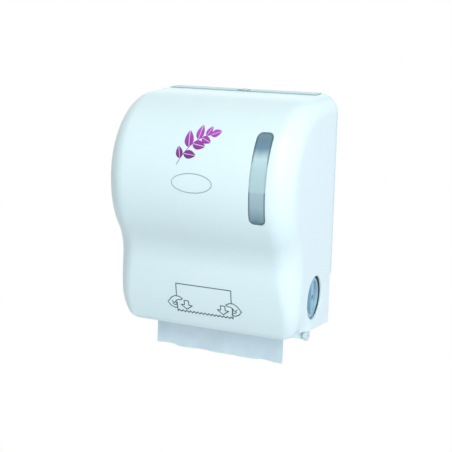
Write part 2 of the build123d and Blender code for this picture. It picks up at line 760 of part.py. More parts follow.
def blade_sheet(half):
    """The blade's full sheet, before its teeth are cut."""
    pivot, along, inward, length = knife_frame()
    start = knife_boss_radius - 1

    def place(distance, offset):
        return (pivot[0] + along[0] * distance + inward[0] * offset,
                pivot[1] + along[1] * distance + inward[1] * offset)

    outline = [place(start, -blade_wall / 2), place(length, -blade_wall / 2),
               place(length, blade_wall / 2), place(start, blade_wall / 2)]
    return side_prism(outline, -half, half)


def knife_blade():
    """The toothed blade, with its teeth along the drum."""
    pivot, along, inward, length = knife_frame()
    half = knife_length / 2
    sheet = blade_sheet(half)
    teeth = int(knife_length / tooth_pitch)
    start = -teeth * tooth_pitch / 2
    points = [(-half - 1, length + 1)]
    points += [(-half - 1, length - tooth_depth), (start, length - tooth_depth)]
    for index in range(teeth):
        points.append((start + (index + 0.5) * tooth_pitch, length + 0.01))
        points.append((start + (index + 1) * tooth_pitch, length - tooth_depth))
    points += [(half + 1, length - tooth_depth), (half + 1, length + 1)]
    plane = Plane((0, pivot[0], pivot[1]), x_dir=(1, 0, 0), z_dir=(0, -inward[0], -inward[1]))
    if plane.y_dir.Y * along[0] + plane.y_dir.Z * along[1] < 0:
        plane = Plane((0, pivot[0], pivot[1]), x_dir=(1, 0, 0), z_dir=(0, inward[0], inward[1]))
    face = plane * make_face(Polyline(*points, close=True).edges())
    waste = extrude(face, amount=blade_wall * 2, both=True)
    return sheet - waste


def knife_rod():
    """The rod that the knife turns on, held in the drum's end walls."""
    return rod(knife_point(*knife_pivot), knife_rod_radius, -drum_length / 2, drum_length / 2)


# ---------------------------------------------------------------- left end
def crank_disc():
    """The disc on the shaft's left end, with a notch for the pawl and a hole for the crank pin."""
    disc = rod(drum_axis, crank_radius, -crank_outside, -crank_inside)
    disc -= rod(drum_axis, shaft_radius, -crank_outside - 1, -crank_inside + 1)
    disc -= rod(polar(drum_axis, crank_throw, crank_angle), crank_pin_radius, -crank_outside - 1,
                -crank_inside + 1)
    notch = rod(polar(drum_axis, crank_radius + 1, pawl_angle), pawl_notch_radius, -crank_outside - 1,
                -crank_inside + 1)
    return disc - notch


def crank_pin():
    """The pin that the assist spring pulls on."""
    return rod(polar(drum_axis, crank_throw, crank_angle), crank_pin_radius,
               -crank_outside - crank_pin_length, -crank_inside)


def stop_pawl():
    """The sprung pawl beside the crank disc. Its tip stands off the disc's edge."""
    tip = polar(drum_axis, crank_radius + small_gap + pawl_tip_width / 2, pawl_angle)
    pawl = tangent_hull(pawl_pivot, pawl_radius, tip, pawl_tip_width / 2, -crank_outside, -crank_inside)
    return pawl - rod(pawl_pivot, pawl_pin_radius + running_gap, -crank_outside - 1, -crank_inside + 1)


def pawl_pin():
    """The pin that carries the pawl, in the left side frame."""
    return rod(pawl_pivot, pawl_pin_radius, -crank_outside - 2, -frame_inside)


def anchor_pin():
    """The fixed pin that the assist spring hangs on."""
    return rod(spring_anchor, crank_pin_radius, -crank_outside - crank_pin_length, -frame_inside)


def assist_spring():
    """The envelope of the extension spring between the crank pin and its anchor."""
    start = polar(drum_axis, crank_throw, crank_angle)
    span = hypot(spring_anchor[0] - start[0], spring_anchor[1] - start[1])
    along = ((spring_anchor[0] - start[0]) / span, (spring_anchor[1] - start[1]) / span)
    x = -crank_outside - crank_pin_length / 2
    base = (x, start[0] + along[0] * spring_end_gap, start[1] + along[1] * spring_end_gap)
    return Solid.make_cylinder(spring_radius, span - 2 * spring_end_gap,
                               Plane(base, x_dir=(1, 0, 0), z_dir=(0, *along)))


def gear_cover():
    """The cap over the crank and the spring, on the left side frame."""
    outside = gear_cover_outline(0)
    inside = gear_cover_outline(gear_cover_wall)
    cap = side_prism(outside, -gear_cover_outside, -frame_outside)
    return cap - side_prism(inside, -gear_cover_outside + gear_cover_wall, -frame_outside + 1)


def gear_cover_outline(inset):
    """The side outline of the gear cover."""
    middle = [sum(corner[axis] for corner in gear_cover_corners) / len(gear_cover_corners) for axis in (0, 1)]
    return [tuple(place - inset if place > centre else place + inset for place, centre in zip(corner, middle))
            for corner in gear_cover_corners]


# ---------------------------------------------------------------- side frames
def side_frame():
    """The right side frame: a plate with a foot screwed to the housing."""
    outline = [(-housing_wall, frame_foot_low), (-housing_wall, frame_top), *frame_corners]
    plate = side_prism(outline, frame_inside, frame_outside)
    foot = block((frame_outside - 1, frame_outside + frame_foot_width),
                 (-2 * housing_wall, -housing_wall), (frame_foot_low, frame_top))
    frame = plate + foot
    for height in frame_foot_heights:
        frame -= stud(foot_screw_place(height), screw_radius, -20, 0)
    frame -= rod(drum_axis, bush_radius, frame_inside - 1, frame_outside + 1)
    for place in tie_bar_places:
        frame -= rod(place, tie_bar_radius, frame_inside - 1, frame_outside + 1)
    return frame - rod(carrier_pivot, carrier_rod_radius, frame_inside - 1, frame_outside + 1)


def foot_screw_place(height):
    """Where a foot screw goes, as X and height."""
    return (frame_outside + frame_foot_width / 2 + 1, height)


def left_side_frame():
    """The left side frame, with the pawl's and the spring's pin holes as well."""
    frame = mirror(side_frame(), about=Plane.YZ)
    for place, radius in ((pawl_pivot, pawl_pin_radius), (spring_anchor, crank_pin_radius)):
        frame -= rod(place, radius, -frame_outside - 1, -frame_inside + 1)
    return frame


def tie_bars():
    """The bars between the side frames."""
    return [rod(place, tie_bar_radius, -frame_outside, frame_outside) for place in tie_bar_places]


def frame_screws():
    """The screws through the feet of the side frames."""
    screws = []
    for side in (-1, 1):
        for height in frame_foot_heights:
            x, z = foot_screw_place(height)
            seat = -2 * housing_wall
            screw = stud((side * x, z), screw_head_radius, seat - screw_head_height, seat)
            screw += stud((side * x, z), screw_radius, seat, seat + housing_wall)
            screws.append(screw)
    return screws


# ---------------------------------------------------------------- pinch roller
def pinch_carrier():
    """The sprung carrier: two arms and the tube that turns on the rod."""
    outside = carrier_arm_inside + carrier_arm_wall
    carrier = rod(carrier_pivot, carrier_tube_radius, -outside, outside)
    for x_low in (-outside, carrier_arm_inside):
        carrier += tangent_hull(carrier_pivot, carrier_tube_radius + 1, pinch_axis, carrier_end_radius,
                                x_low, x_low + carrier_arm_wall)
    carrier -= rod(carrier_pivot, carrier_rod_radius + running_gap, -outside - 1, outside + 1)
    return carrier - rod(pinch_axis, pinch_axle_radius + running_gap, -outside - 1, outside + 1)


def carrier_rod():
    """The rod between the side frames that the carrier turns on."""
    return rod(carrier_pivot, carrier_rod_radius, -frame_outside, frame_outside)


def pinch_axle():
    """The axle of the pinch rollers."""
    outside = carrier_arm_inside + carrier_arm_wall
    return rod(pinch_axis, pinch_axle_radius, -outside - 0.5, outside + 0.5)


def pinch_rollers():
    """The rubber rollers on the axle."""
    rollers = []
    for index in range(pinch_count):
        middle = (index - (pinch_count - 1) / 2) * pinch_pitch
        rollers.append(ring_along_x(pinch_axis, pinch_radius, pinch_axle_radius,
                                    middle - pinch_width / 2, middle + pinch_width / 2))
    return rollers


def carrier_springs():
    """The envelopes of the two torsion springs on the carrier's tube."""
    springs = []
    for side in (-1, 1):
        low = side * (carrier_arm_inside - small_gap - coil_length / 2) - coil_length / 2
        springs.append(ring_along_x(carrier_pivot, coil_outer_radius, carrier_tube_radius, low,
                                    low + coil_length))
    return springs


# ---------------------------------------------------------------- paper guide and paper
def paper_guide():
    """The curved guide in front of the drum, whose lip turns the paper down."""
    skin = ring_along_x(drum_axis, guide_radius + guide_wall, guide_radius, -frame_inside, frame_inside)
    reach = 1.5 * guide_radius
    sector = [drum_axis, polar(drum_axis, reach, guide_start),
              polar(drum_axis, reach * 1.2, (guide_start + guide_end) / 2), polar(drum_axis, reach, guide_end)]
    guide = skin & side_prism(sector, -frame_inside, frame_inside)
    top = polar(drum_axis, guide_radius, guide_end)
    outer = polar(drum_axis, guide_radius + guide_wall, guide_end)
    lean = degrees(atan2(guide_lip[1] - outer[1], guide_lip[0] - outer[0]))
    lip_outer = polar(guide_lip, guide_wall / 2, lean - 90)
    lip_inner = polar(guide_lip, guide_wall / 2, lean + 90)
    guide += side_prism([top, outer, lip_outer, lip_inner], -frame_inside, frame_inside)
    guide += rod(guide_lip, guide_bead_radius, -frame_inside, frame_inside)
    return guide


def paper_tail():
    """The tail that hangs below the guide's lip, with a torn lower edge that is a little out of level."""
    half = paper_width / 2
    outline = [(-half, tail_low_left), (-half, guide_lip[1]), (half, guide_lip[1]), (half, tail_low_right)]
    face = Plane((0, tail_front, 0), x_dir=(1, 0, 0), z_dir=(0, -1, 0)) * make_face(
        Polyline(*outline, close=True).edges())
    return extrude(face, amount=paper_wall, dir=(0, 1, 0))


def paper_web():
    """The web from the rear of the roll down to the rear of the pinch rollers."""
    high = (roll_axis[0] + roll_radius + small_gap, roll_axis[1])
    low = (pinch_axis[0] + pinch_radius + small_gap, pinch_axis[1] + pinch_radius / 4)
    outline = [high, (high[0] + paper_wall, high[1]), (low[0] + paper_wall, low[1]), low]
    return side_prism(outline, -paper_width / 2, paper_width / 2)


# ---------------------------------------------------------------- all the pieces
def build():
    """Write every sub-part."""
    os.makedirs("parts", exist_ok=True)
    save("rear_housing", rear_housing())
    save("front_cover", front_cover())
    save("level_window", level_window())
    save("strike_hook", strike_hook())
    pin = hinge_pin()
    save("hinge_pin_right", pin)
    save("hinge_pin_left", mirrored(pin))

    save("lock_barrel", lock_barrel())
    save("lock_plug", lock_plug())
    save("lock_cam", lock_cam())
    save("cam_screw", cam_screw())

    for name, piece in (("roll_arm", roll_arm()), ("arm_pin", arm_pin()), ("roll_hub", roll_hub()),
                        ("hub_clip", hub_clip())):
        save(f"{name}_right", piece)
        save(f"{name}_left", mirrored(piece))
    half_roll = roll_width / 2
    save("roll_core", ring_along_x(roll_axis, core_radius, core_radius - core_wall, -half_roll, half_roll))
    save("paper_roll", ring_along_x(roll_axis, roll_radius, core_radius, -half_roll, half_roll))

    save("drum_shell_upper", drum_shell(upper=True))
    save("drum_shell_lower", drum_shell(upper=False))
    save("grip_bands", *grip_bands())
    save("drum_shaft", drum_shaft())
    save("shaft_bush_right", shaft_bush(1))
    save("shaft_bush_left", shaft_bush(-1))
    save("feed_knob", feed_knob())
    save("knob_screw", knob_screw())

    save("knife_bar", knife_bar())
    save("knife_blade", knife_blade())
    save("knife_rod", knife_rod())

    save("crank_disc", crank_disc())
    save("crank_pin", crank_pin())
    save("stop_pawl", stop_pawl())
    save("pawl_pin", pawl_pin())
    save("anchor_pin", anchor_pin())
    save("assist_spring", assist_spring())
    save("gear_cover", gear_cover())

    save("side_frame_right", side_frame())
    save("side_frame_left", left_side_frame())
    save("tie_bars", *tie_bars())
    save("frame_screws", *frame_screws())

    save("pinch_carrier", pinch_carrier())
    save("carrier_rod", carrier_rod())
    save("pinch_axle", pinch_axle())
    save("pinch_rollers", *pinch_rollers())
    save("carrier_springs", *carrier_springs())

    save("paper_guide", paper_guide())
    save("paper_tail", paper_tail())
    save("paper_web", paper_web())


build()
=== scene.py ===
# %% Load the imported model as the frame
import json
import math

import bmesh
import bpy
import numpy as np
from mathutils import Matrix, Vector
from mathutils.geometry import delaunay_2d_cdt


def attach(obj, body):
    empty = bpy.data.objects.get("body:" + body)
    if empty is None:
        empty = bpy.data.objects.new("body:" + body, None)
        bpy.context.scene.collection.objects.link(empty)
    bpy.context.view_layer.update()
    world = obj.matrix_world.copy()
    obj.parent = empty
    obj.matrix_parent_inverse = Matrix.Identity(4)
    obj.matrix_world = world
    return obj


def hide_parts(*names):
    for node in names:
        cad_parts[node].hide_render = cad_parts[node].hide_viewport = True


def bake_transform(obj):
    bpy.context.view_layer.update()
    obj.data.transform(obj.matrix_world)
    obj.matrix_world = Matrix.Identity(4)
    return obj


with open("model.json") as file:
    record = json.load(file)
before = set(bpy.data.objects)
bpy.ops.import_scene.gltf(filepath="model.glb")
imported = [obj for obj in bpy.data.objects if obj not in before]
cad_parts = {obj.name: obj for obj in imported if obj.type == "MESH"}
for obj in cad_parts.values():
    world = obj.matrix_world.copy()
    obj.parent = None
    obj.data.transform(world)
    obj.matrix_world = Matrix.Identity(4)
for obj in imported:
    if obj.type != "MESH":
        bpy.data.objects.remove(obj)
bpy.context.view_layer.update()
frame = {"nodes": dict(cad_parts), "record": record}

# %% [markdown]
# This scene dresses a wall-mounted auto-cut paper towel dispenser. Its moving parts come from the frame, and the
# frame's origin is the centre of the four wall screws. Sizes in this file are in millimetres, with heights counted
# from the case's lowest rear corner, as a fitter would measure them. One function turns them into the frame's metres.

# %% Millimetres to the frame
screw_height = 225.0


def to_frame(points):
    """Rows of (x, y, height) in millimetres, as rows of metres in the frame."""
    rows = np.atleast_2d(np.asarray(points, dtype=float)).copy()
    rows[:, 2] -= screw_height
    return rows * 0.001


# %% [markdown]
# Every object, mesh and node in this file is made in the same way, so each has one helper. An input of a node takes
# either a plain value or the output of another node.

# %% Helpers for objects, meshes and nodes
def added(name, data):
    """A new object for some data, linked to the scene."""
    obj = bpy.data.objects.new(name, data)
    bpy.context.scene.collection.objects.link(obj)
    return obj


def mesh_of(name, points, edges=(), faces=()):
    """A mesh from its points, and from its edges or its faces."""
    mesh = bpy.data.meshes.new(name)
    mesh.from_pydata(points, edges, faces)
    return mesh


def new_node(tree, kind, inputs=None, **settings):
    """A new node with its settings, and a plain value or a link on each input that is named."""
    made = tree.nodes.new(kind)
    for key, value in settings.items():
        setattr(made, key, value)
    for key, value in (inputs or {}).items():
        if isinstance(value, bpy.types.NodeSocket):
            tree.links.new(value, made.inputs[key])
        else:
            made.inputs[key].default_value = value
    return made


# %% [markdown]
# The camera stands a little above the case and to its right. A long lens from 1.5 m away keeps the sides nearly
# parallel. It is set from its own right and up directions, because it leans by less than a degree and two angles
# couldn't say that.

# %% Camera
sensor_width, focal_pixels, picture_pixels = 36.0, 931.43, 452
camera_data = bpy.data.cameras.new("camera")
camera_data.sensor_width = sensor_width
camera_data.lens = sensor_width * focal_pixels / picture_pixels
camera_data.clip_end = 50
camera = added("camera", camera_data)
camera_place = Vector(to_frame((527.97, -1371.56, 513.73))[0])
right = Vector((0.924087, 0.381958, 0.013094)).normalized()
back = right.cross(Vector((-0.105670, 0.222427, 0.969206))).normalized()
up = back.cross(right)
camera.matrix_world = Matrix.LocRotScale(camera_place, Matrix((right, up, back)).transposed(), None)
bpy.context.scene.camera = camera
print("lens:", round(camera_data.lens, 1), "mm")

# %% [markdown]
# The light is a soft studio: a pale world that is a little darker above and to the left, one large lamp to the right
# and above, a tall cool strip on the right, weak lamps in front, overhead and behind, and a violet one on the right
# side. The floor and the world turn plain white only for rays that come from the camera, or by way of gloss and
# glass, so the background is white while the object is lit at a plain level. From below, the floor is clear, so the
# underside can be looked at.

# %% Studio
scene = bpy.context.scene
scene.view_settings.view_transform = "Standard"


def shown_white(tree, dim, white):
    """The output of a dim shader, or of a white one for camera, glossy and transmission rays."""
    path = new_node(tree, "ShaderNodeLightPath")
    seen = path.outputs["Is Camera Ray"]
    for ray in ("Is Glossy Ray", "Is Transmission Ray"):
        seen = new_node(tree, "ShaderNodeMath", {0: seen, 1: path.outputs[ray]}, operation="MAXIMUM").outputs[0]
    return new_node(tree, "ShaderNodeMixShader", {0: seen, 1: dim.outputs[0], 2: white.outputs[0]}).outputs[0]


world = bpy.data.worlds.new("studio_air")
scene.world = world
world.use_nodes = True
air = world.node_tree
air.nodes.clear()
air_way = new_node(air, "ShaderNodeTexCoord").outputs["Generated"]
air_lean = new_node(air, "ShaderNodeVectorMath", {0: air_way, 1: (0.60, -0.30, -0.34)}, operation="DOT_PRODUCT")
air_level = new_node(air, "ShaderNodeMath", {0: air_lean.outputs["Value"], 1: 0.34, 2: 0.52}, operation="MULTIPLY_ADD")
air_dim = new_node(air, "ShaderNodeBackground", {"Color": (0.86, 0.97, 1.0, 1), "Strength": air_level.outputs[0]})
air_white = new_node(air, "ShaderNodeBackground", {"Color": (1, 1, 1, 1), "Strength": 1.0})
new_node(air, "ShaderNodeOutputWorld", {"Surface": shown_white(air, air_dim, air_white)})


def lamp(name, place, target, size, power, colour=(1, 1, 1)):
    """An area lamp of a width and height at a place, turned towards a target, all in metres."""
    data = bpy.data.lights.new(name, "AREA")
    data.shape, data.energy, data.color = "RECTANGLE", power, colour
    data.size, data.size_y = size
    obj = added(name, data)
    obj.location = place
    obj.rotation_euler = (Vector(target) - Vector(place)).to_track_quat("-Z", "Y").to_euler()


lamp("key_lamp", (1.1, -1.5, 1.9), (0, -0.1, 0), (1.8, 1.8), 25)
lamp("strip_lamp", (1.9, -1.5, 0.3), (0, -0.1, 0.02), (0.8, 2.6), 15, (0.88, 0.86, 1.0))
lamp("front_lamp", (0.7, -2.3, -0.15), (0, -0.1, -0.1), (1.6, 1.6), 6.2)
lamp("top_lamp", (0.5, -1.1, 1.7), (0.05, -0.1, 0.1), (1.6, 1.0), 6.5, (1.0, 0.97, 0.95))
lamp("side_lamp", (2.4, 0.2, 0.3), (0.1, -0.1, 0), (1.2, 1.2), 4, (0.80, 0.62, 1.0))
lamp("rear_lamp", (-0.8, 2.2, 1.0), (0, 0, 0), (1.6, 1.6), 5)

floor_half, floor_height = 6, -0.62
floor_corners = [(x * floor_half, y * floor_half, floor_height) for x, y in ((-1, -1), (1, -1), (1, 1), (-1, 1))]
floor_mesh = mesh_of("floor", floor_corners, faces=[(0, 1, 2, 3)])
floor = added("floor", floor_mesh)
floor_paint = bpy.data.materials.new("floor_paint")
floor_paint.use_nodes = True
paint = floor_paint.node_tree
paint.nodes.clear()
floor_dull = new_node(paint, "ShaderNodeBsdfDiffuse", {"Color": (0.8, 0.82, 0.83, 1)})
floor_white = new_node(paint, "ShaderNodeEmission", {"Strength": 1.0})
floor_side = new_node(paint, "ShaderNodeNewGeometry")
floor_clear = new_node(paint, "ShaderNodeBsdfTransparent")
floor_pick = new_node(paint, "ShaderNodeMixShader", {
    0: floor_side.outputs["Backfacing"], 1: shown_white(paint, floor_dull, floor_white), 2: floor_clear.outputs[0]})
new_node(paint, "ShaderNodeOutputMaterial", {"Surface": floor_pick.outputs[0]})
floor_mesh.materials.append(floor_paint)

# %% [markdown]
# Moulded plastic isn't one flat colour. It has a fine grain from the tool, and the shade drifts a little across a
# large part. Both come from noise on Object coordinates, so they stay put on the piece and need no unwrapping.
# Every plain number, such as the roughness, goes straight on the shader's own socket.

# %% Helpers for finishes
def new_material(name, values):
    """A new material, with its tree and its shader, and plain values on the shader's sockets."""
    material = bpy.data.materials.new(name)
    material.use_nodes = True
    shader = material.node_tree.nodes["Principled BSDF"]
    for label, value in values.items():
        shader.inputs[label].default_value = value
    return material, material.node_tree, shader


def colour_ramp(tree, factor, stops):
    """The colour that a ramp of (place, colour) stops gives for a factor."""
    ramp = new_node(tree, "ShaderNodeValToRGB", {"Fac": factor})
    elements = ramp.color_ramp.elements
    while len(elements) < len(stops):
        elements.new(0.5)
    for element, (place, colour) in zip(elements, stops):
        element.position = place
        element.color = (*colour, 1)
    return ramp.outputs["Color"]


def colour_mix(tree, factor, colour, other, blend="MIX"):
    """A colour with some of another plain one mixed in."""
    mix = new_node(tree, "ShaderNodeMix", {"Factor": factor, "A": colour, "B": (*other, 1)}, data_type="RGBA",
                   blend_type=blend)
    return mix.outputs["Result"]


def finish(name, colour, roughness=0.4, metallic=0.0, drift=0.03, drift_scale=12, grain=0.00002, grain_scale=1500,
           coat=0.0, stretch=(1, 1, 1), shine=0.5, painted_top_shade=None):
    """A solid finish whose shade drifts and whose surface has a grain. A painted top shade darkens it between two
    heights.
    """
    material, tree, shader = new_material(name, {
        "Roughness": roughness, "Metallic": metallic, "Specular IOR Level": shine, "Coat Weight": coat,
        "Coat Roughness": 0.15})
    where = new_node(tree, "ShaderNodeTexCoord").outputs["Object"]
    mapped = new_node(tree, "ShaderNodeMapping", {"Vector": where, "Scale": stretch}).outputs[0]
    slow = new_node(tree, "ShaderNodeTexNoise", {"Vector": mapped, "Scale": drift_scale, "Detail": 3})
    dark = [channel * (1 - drift) for channel in colour]
    light = [min(1, channel * (1 + drift)) for channel in colour]
    shade = colour_ramp(tree, slow.outputs["Fac"], [(0.3, dark), (0.7, light)])
    # Painted shade: between two heights the colour is multiplied by a darker one, standing in for the shade along the
    # top.
    if painted_top_shade:
        low, high, depth = painted_top_shade
        height = new_node(tree, "ShaderNodeSeparateXYZ", {0: where}).outputs["Z"]
        share = new_node(tree, "ShaderNodeMapRange", {"Value": height, "From Min": low, "From Max": high},
                         interpolation_type="SMOOTHSTEP")
        shade = colour_mix(tree, share.outputs["Result"], shade, depth, "MULTIPLY")
    tree.links.new(shade, shader.inputs["Base Color"])
    fine = new_node(tree, "ShaderNodeTexNoise", {"Vector": mapped, "Scale": grain_scale, "Detail": 2})
    bump = new_node(tree, "ShaderNodeBump", {"Height": fine.outputs["Fac"], "Strength": 0.6, "Distance": grain})
    tree.links.new(bump.outputs["Normal"], shader.inputs["Normal"])
    return material


rubber = {"drift": 0.2, "grain": 0.00006, "grain_scale": 900}
# The cover and the housing get painted shade towards their top rear edge, from a ramp on height.
finishes = {name: finish(name, colour, roughness, **details) for name, colour, roughness, details in (
    ("cover_plastic", (0.73, 0.88, 0.90), 0.32, {
        "coat": 0.08, "shine": 0.36, "drift": 0.015, "drift_scale": 6, "painted_top_shade": (0.128, 0.138, (0.82, 0.91, 0.92))}),
    ("housing_plastic", (0.62, 0.77, 0.81), 0.38, {
        "shine": 0.36, "drift": 0.02, "painted_top_shade": (0.134, 0.137, (0.64, 0.79, 0.8))}),
    ("knob_plastic", (0.25, 0.45, 0.56), 0.3, {"drift": 0.06, "drift_scale": 30}),
    ("inner_plastic", (0.52, 0.57, 0.60), 0.5, {"drift": 0.04, "grain": 0.00004}),
    ("dark_plastic", (0.035, 0.04, 0.045), 0.45, {"drift": 0.15, "grain": 0.00004}),
    ("steel", (0.55, 0.56, 0.57), 0.28, {"metallic": 1.0, "drift": 0.08, "stretch": (1, 8, 8)}),
    ("blade_steel", (0.62, 0.63, 0.65), 0.22, {"metallic": 1.0, "drift": 0.06, "stretch": (12, 1, 1)}),
    ("lock_metal", (0.36, 0.42, 0.44), 0.28, {"metallic": 1.0, "drift": 0.05}),
    ("grip_rubber", (0.03, 0.032, 0.035), 0.75, rubber),
    ("roller_rubber", (0.05, 0.052, 0.055), 0.7, rubber),
    ("core_board", (0.33, 0.24, 0.15), 0.85, {
        "drift": 0.15, "drift_scale": 60, "grain": 0.00008, "grain_scale": 500, "stretch": (3, 1, 1)}),
)}
print(len(finishes), "finishes")

# %% [markdown]
# The case is one flowing shape: a side outline of tangent arcs, carried across the width, with a soft edge round
# to each side. The soft edge isn't even. It is tight at the top rear, widest on the bulge and tight again at the
# bottom lip. An even fillet can't do that, so the skin is a rule: how far along the outline (`along`) and how far
# across from the middle (`across`, measured round the soft edge) give a point.

# %% The case's side outline
half_width = 147.5
bulge_centre, bulge_radius = np.array((-86.4, 237.0)), 125.0
low_centre, low_radius = np.array((83.0, 113.0)), 256.0
waist_radius, top_slope = 72.0, math.radians(0.5)
lip_height, lip_radius = 13.5, 18.0
cover_wall, cover_back = 2.8, 5.5
arc_step, top_steps = 0.5, 160
quarter, full_turn = math.pi / 2, 2 * math.pi


def angle_of(centre, point):
    """The direction from a centre to a point of the side outline, in radians from 0 to a full turn."""
    return math.atan2(point[1] - centre[1], point[0] - centre[0]) % full_turn


def side_arc(centre, radius, start, end, hollow=False):
    """Close points along an arc of the side outline, with the directions into the case."""
    turns = np.linspace(start, end, max(3, int(abs(end - start) * radius / arc_step)))
    out = np.stack([np.cos(turns), np.sin(turns)], axis=1)
    return centre + radius * out, out if hollow else -out


low_reach, high_reach = low_radius + waist_radius, bulge_radius + waist_radius
span = np.linalg.norm(bulge_centre - low_centre)
toward = (bulge_centre - low_centre) / span
foot = (low_reach ** 2 - high_reach ** 2 + span ** 2) / (2 * span)
rise = math.sqrt(low_reach ** 2 - foot ** 2)
waist_centre = low_centre + foot * toward + rise * np.array((-toward[1], toward[0]))
high_join, low_join = angle_of(bulge_centre, waist_centre), angle_of(low_centre, waist_centre)
corner_height = lip_height + lip_radius
corner_back = math.sqrt((low_radius - lip_radius) ** 2 - (low_centre[1] - corner_height) ** 2)
corner = np.array((low_centre[0] - corner_back, corner_height))
corner_turn, top_turn = angle_of(low_centre, corner), quarter + top_slope
top_start = bulge_centre + bulge_radius * np.array((math.cos(top_turn), math.sin(top_turn)))
top_run = np.linspace(-cover_back, top_start[0], top_steps)
top_line = np.stack([top_run, top_start[1] + (top_run - top_start[0]) * math.tan(top_slope)], axis=1)
top_inward = np.tile((math.sin(top_slope), -math.cos(top_slope)), (top_steps, 1))
stretches = [
    (top_line, top_inward),
    side_arc(bulge_centre, bulge_radius, top_turn, high_join),
    side_arc(waist_centre, waist_radius, high_join - math.pi, low_join - math.pi, hollow=True),
    side_arc(low_centre, low_radius, low_join, corner_turn),
    side_arc(corner, lip_radius, corner_turn, 3 * quarter),
]
outline, inward = (np.concatenate([part[k][min(i, 1):] for i, part in enumerate(stretches)]) for k in (0, 1))
along_table = np.concatenate([[0], np.cumsum(np.linalg.norm(np.diff(outline, axis=0), axis=1))])
along_end = along_table[-1]
print("outline:", round(along_end, 1), "mm long, waist centre", waist_centre.round(1))


# %% How round the soft edges are, along the outline
def along_where(height, further_out):
    """How far along the outline its point nearest a height is, among the points beyond a distance from the wall."""
    return along_table[np.argmin(np.abs(outline[:, 1] - height) + (outline[:, 0] > -further_out) * 999)]


bulge_front = along_table[np.argmin(outline[:, 0])]
lip_start = along_end - lip_radius * (3 * quarter - corner_turn)
edge_marks = [0, 82, bulge_front, along_where(119.7, 140), lip_start, along_end]
edge_sizes = [27, 29, 40, 36, 17, 5]
draft, draft_run = 3.0, 165
corner_reach, corner_rise = 26.0, 52.0
edge_table = np.interp(along_table, edge_marks, edge_sizes)
reach = 28
soft = np.exp(-np.linspace(-2, 2, 4 * reach + 1) ** 2)
padded_edges = np.pad(edge_table, 2 * reach, mode="edge")
edge_table = np.convolve(padded_edges, soft / soft.sum(), mode="valid")
edge_table = np.minimum(edge_table, np.where(along_table >= lip_start - 2, lip_radius - 0.6, 99))


def edge_radius(along):
    """The soft edge's radius at a place along the outline."""
    return np.interp(along, along_table, edge_table)


def across_end(along):
    """How far across, round the soft edge, the skin reaches before the flat side begins."""
    radius = edge_radius(along)
    return half_width - radius + radius * quarter


def eased(value):
    """A smooth step from 0 to 1."""
    value = np.clip(value, 0, 1)
    return value ** 2 * (3 - 2 * value)


def corner_in(y, height):
    """How far the front's rounded lower corners stand in from the side."""
    low = np.clip(1 - (height - lip_height) / corner_rise, 0, 1)
    return eased((-95 - y) / 40) * corner_reach * (1 - np.sqrt(1 - 0.98 * low ** 2))


def drawn_in(side, y, height):
    """How far a point of the skin stands in, from the mould's draft and the rounded lower corners."""
    return (draft * np.clip((-cover_back - y) / draft_run, 0, 1) * eased((side - 108) / 36)
            + corner_in(y, height) * eased((side - 70) / 70))


# %% The skin
def skin_point(across, along):
    """The points of the outer skin, as rows of (x, y, height)."""
    along = np.clip(along, 0, along_end)
    radius = edge_radius(along)
    turn = np.clip((np.abs(across) - (half_width - radius)) / radius, 0, quarter)
    x = np.where(turn > 0, half_width - radius + radius * np.sin(turn), np.abs(across)) * np.sign(across)
    depth = radius * (1 - np.cos(turn))
    y, h = (np.interp(along, along_table, outline[:, k]) + np.interp(along, along_table, inward[:, k]) * depth
            for k in (0, 1))
    return np.stack([x - np.sign(x) * drawn_in(np.abs(x), y, h), y, h], axis=-1)


def skin_normal(across, along):
    """The outward normals of the skin, from two short steps on it."""
    step = 0.2
    low, high = np.clip(along - step, 0, along_end), np.clip(along + step, 0, along_end)
    down = skin_point(across, high) - skin_point(across, low)
    inner = np.clip(across, -across_end(along) + step, across_end(along) - step)
    over = skin_point(inner + step, along) - skin_point(inner - step, along)
    normal = np.cross(down, over)
    return normal / np.linalg.norm(normal, axis=-1, keepdims=True)


front_from = along_where(356, 86)
front_rows = along_table >= front_from


def along_at_height(height):
    """How far along the outline a height on the front lies."""
    return np.interp(-np.asarray(height, dtype=float), -outline[front_rows, 1], along_table[front_rows])


print("soft edge radius on the bulge:", round(float(edge_radius(bulge_front)), 1), "mm")

# %% [markdown]
# A moulded cover is a skin with a wall behind it. A Solidify modifier would leave its rims square, and light would
# never catch them. So a helper fills a flat pattern with triangles, wraps it on the skin, and builds the wall and
# a rounded rim round every opening by itself. It also stores exact normals, so no seam shows in the gloss.

# %% Rows of points for the edges of flat patterns
def arc_points(centre, radius, start, end, count):
    """Points round an arc, from one direction to another, in degrees."""
    return [(centre[0] + radius * math.cos(t), centre[1] + radius * math.sin(t))
            for t in np.radians(np.linspace(start, end, count))]


def circle(centre, radius, count):
    """Points round a circle."""
    return arc_points(centre, radius, 0, 360, count + 1)[:-1]


def rounded_box(centre, half, corner_size, count):
    """Points round a box with round corners, from its centre and its half sizes."""
    loop = []
    for turn, sx, sz in ((0, 1, 1), (90, -1, 1), (180, -1, -1), (270, 1, -1)):
        middle = (centre[0] + sx * (half[0] - corner_size), centre[1] + sz * (half[1] - corner_size))
        loop += arc_points(middle, corner_size, turn, turn + 90, count)
    return loop


def run(a, b, step=4.0, whole=round):
    """Even points from a up to b, without b."""
    parts = max(1, int(whole(math.dist(a, b) / step)))
    return [(a[0] + (b[0] - a[0]) * k / parts, a[1] + (b[1] - a[1]) * k / parts) for k in range(parts)]


def inside_loop(ys, hs, ring):
    """True for the points inside a closed loop."""
    result = np.zeros(len(ys), dtype=bool)
    for (ya, ha), (yb, hb) in zip(ring, np.roll(ring, -1, axis=0)):
        crosses = (ha > hs) != (hb > hs)
        at = ya + (hs - ha) / (hb - ha if hb != ha else 1) * (yb - ya)
        result ^= crosses & (ys < at)
    return result


def everywhere(centres):
    """True for every centre."""
    return np.ones(len(centres), dtype=bool)


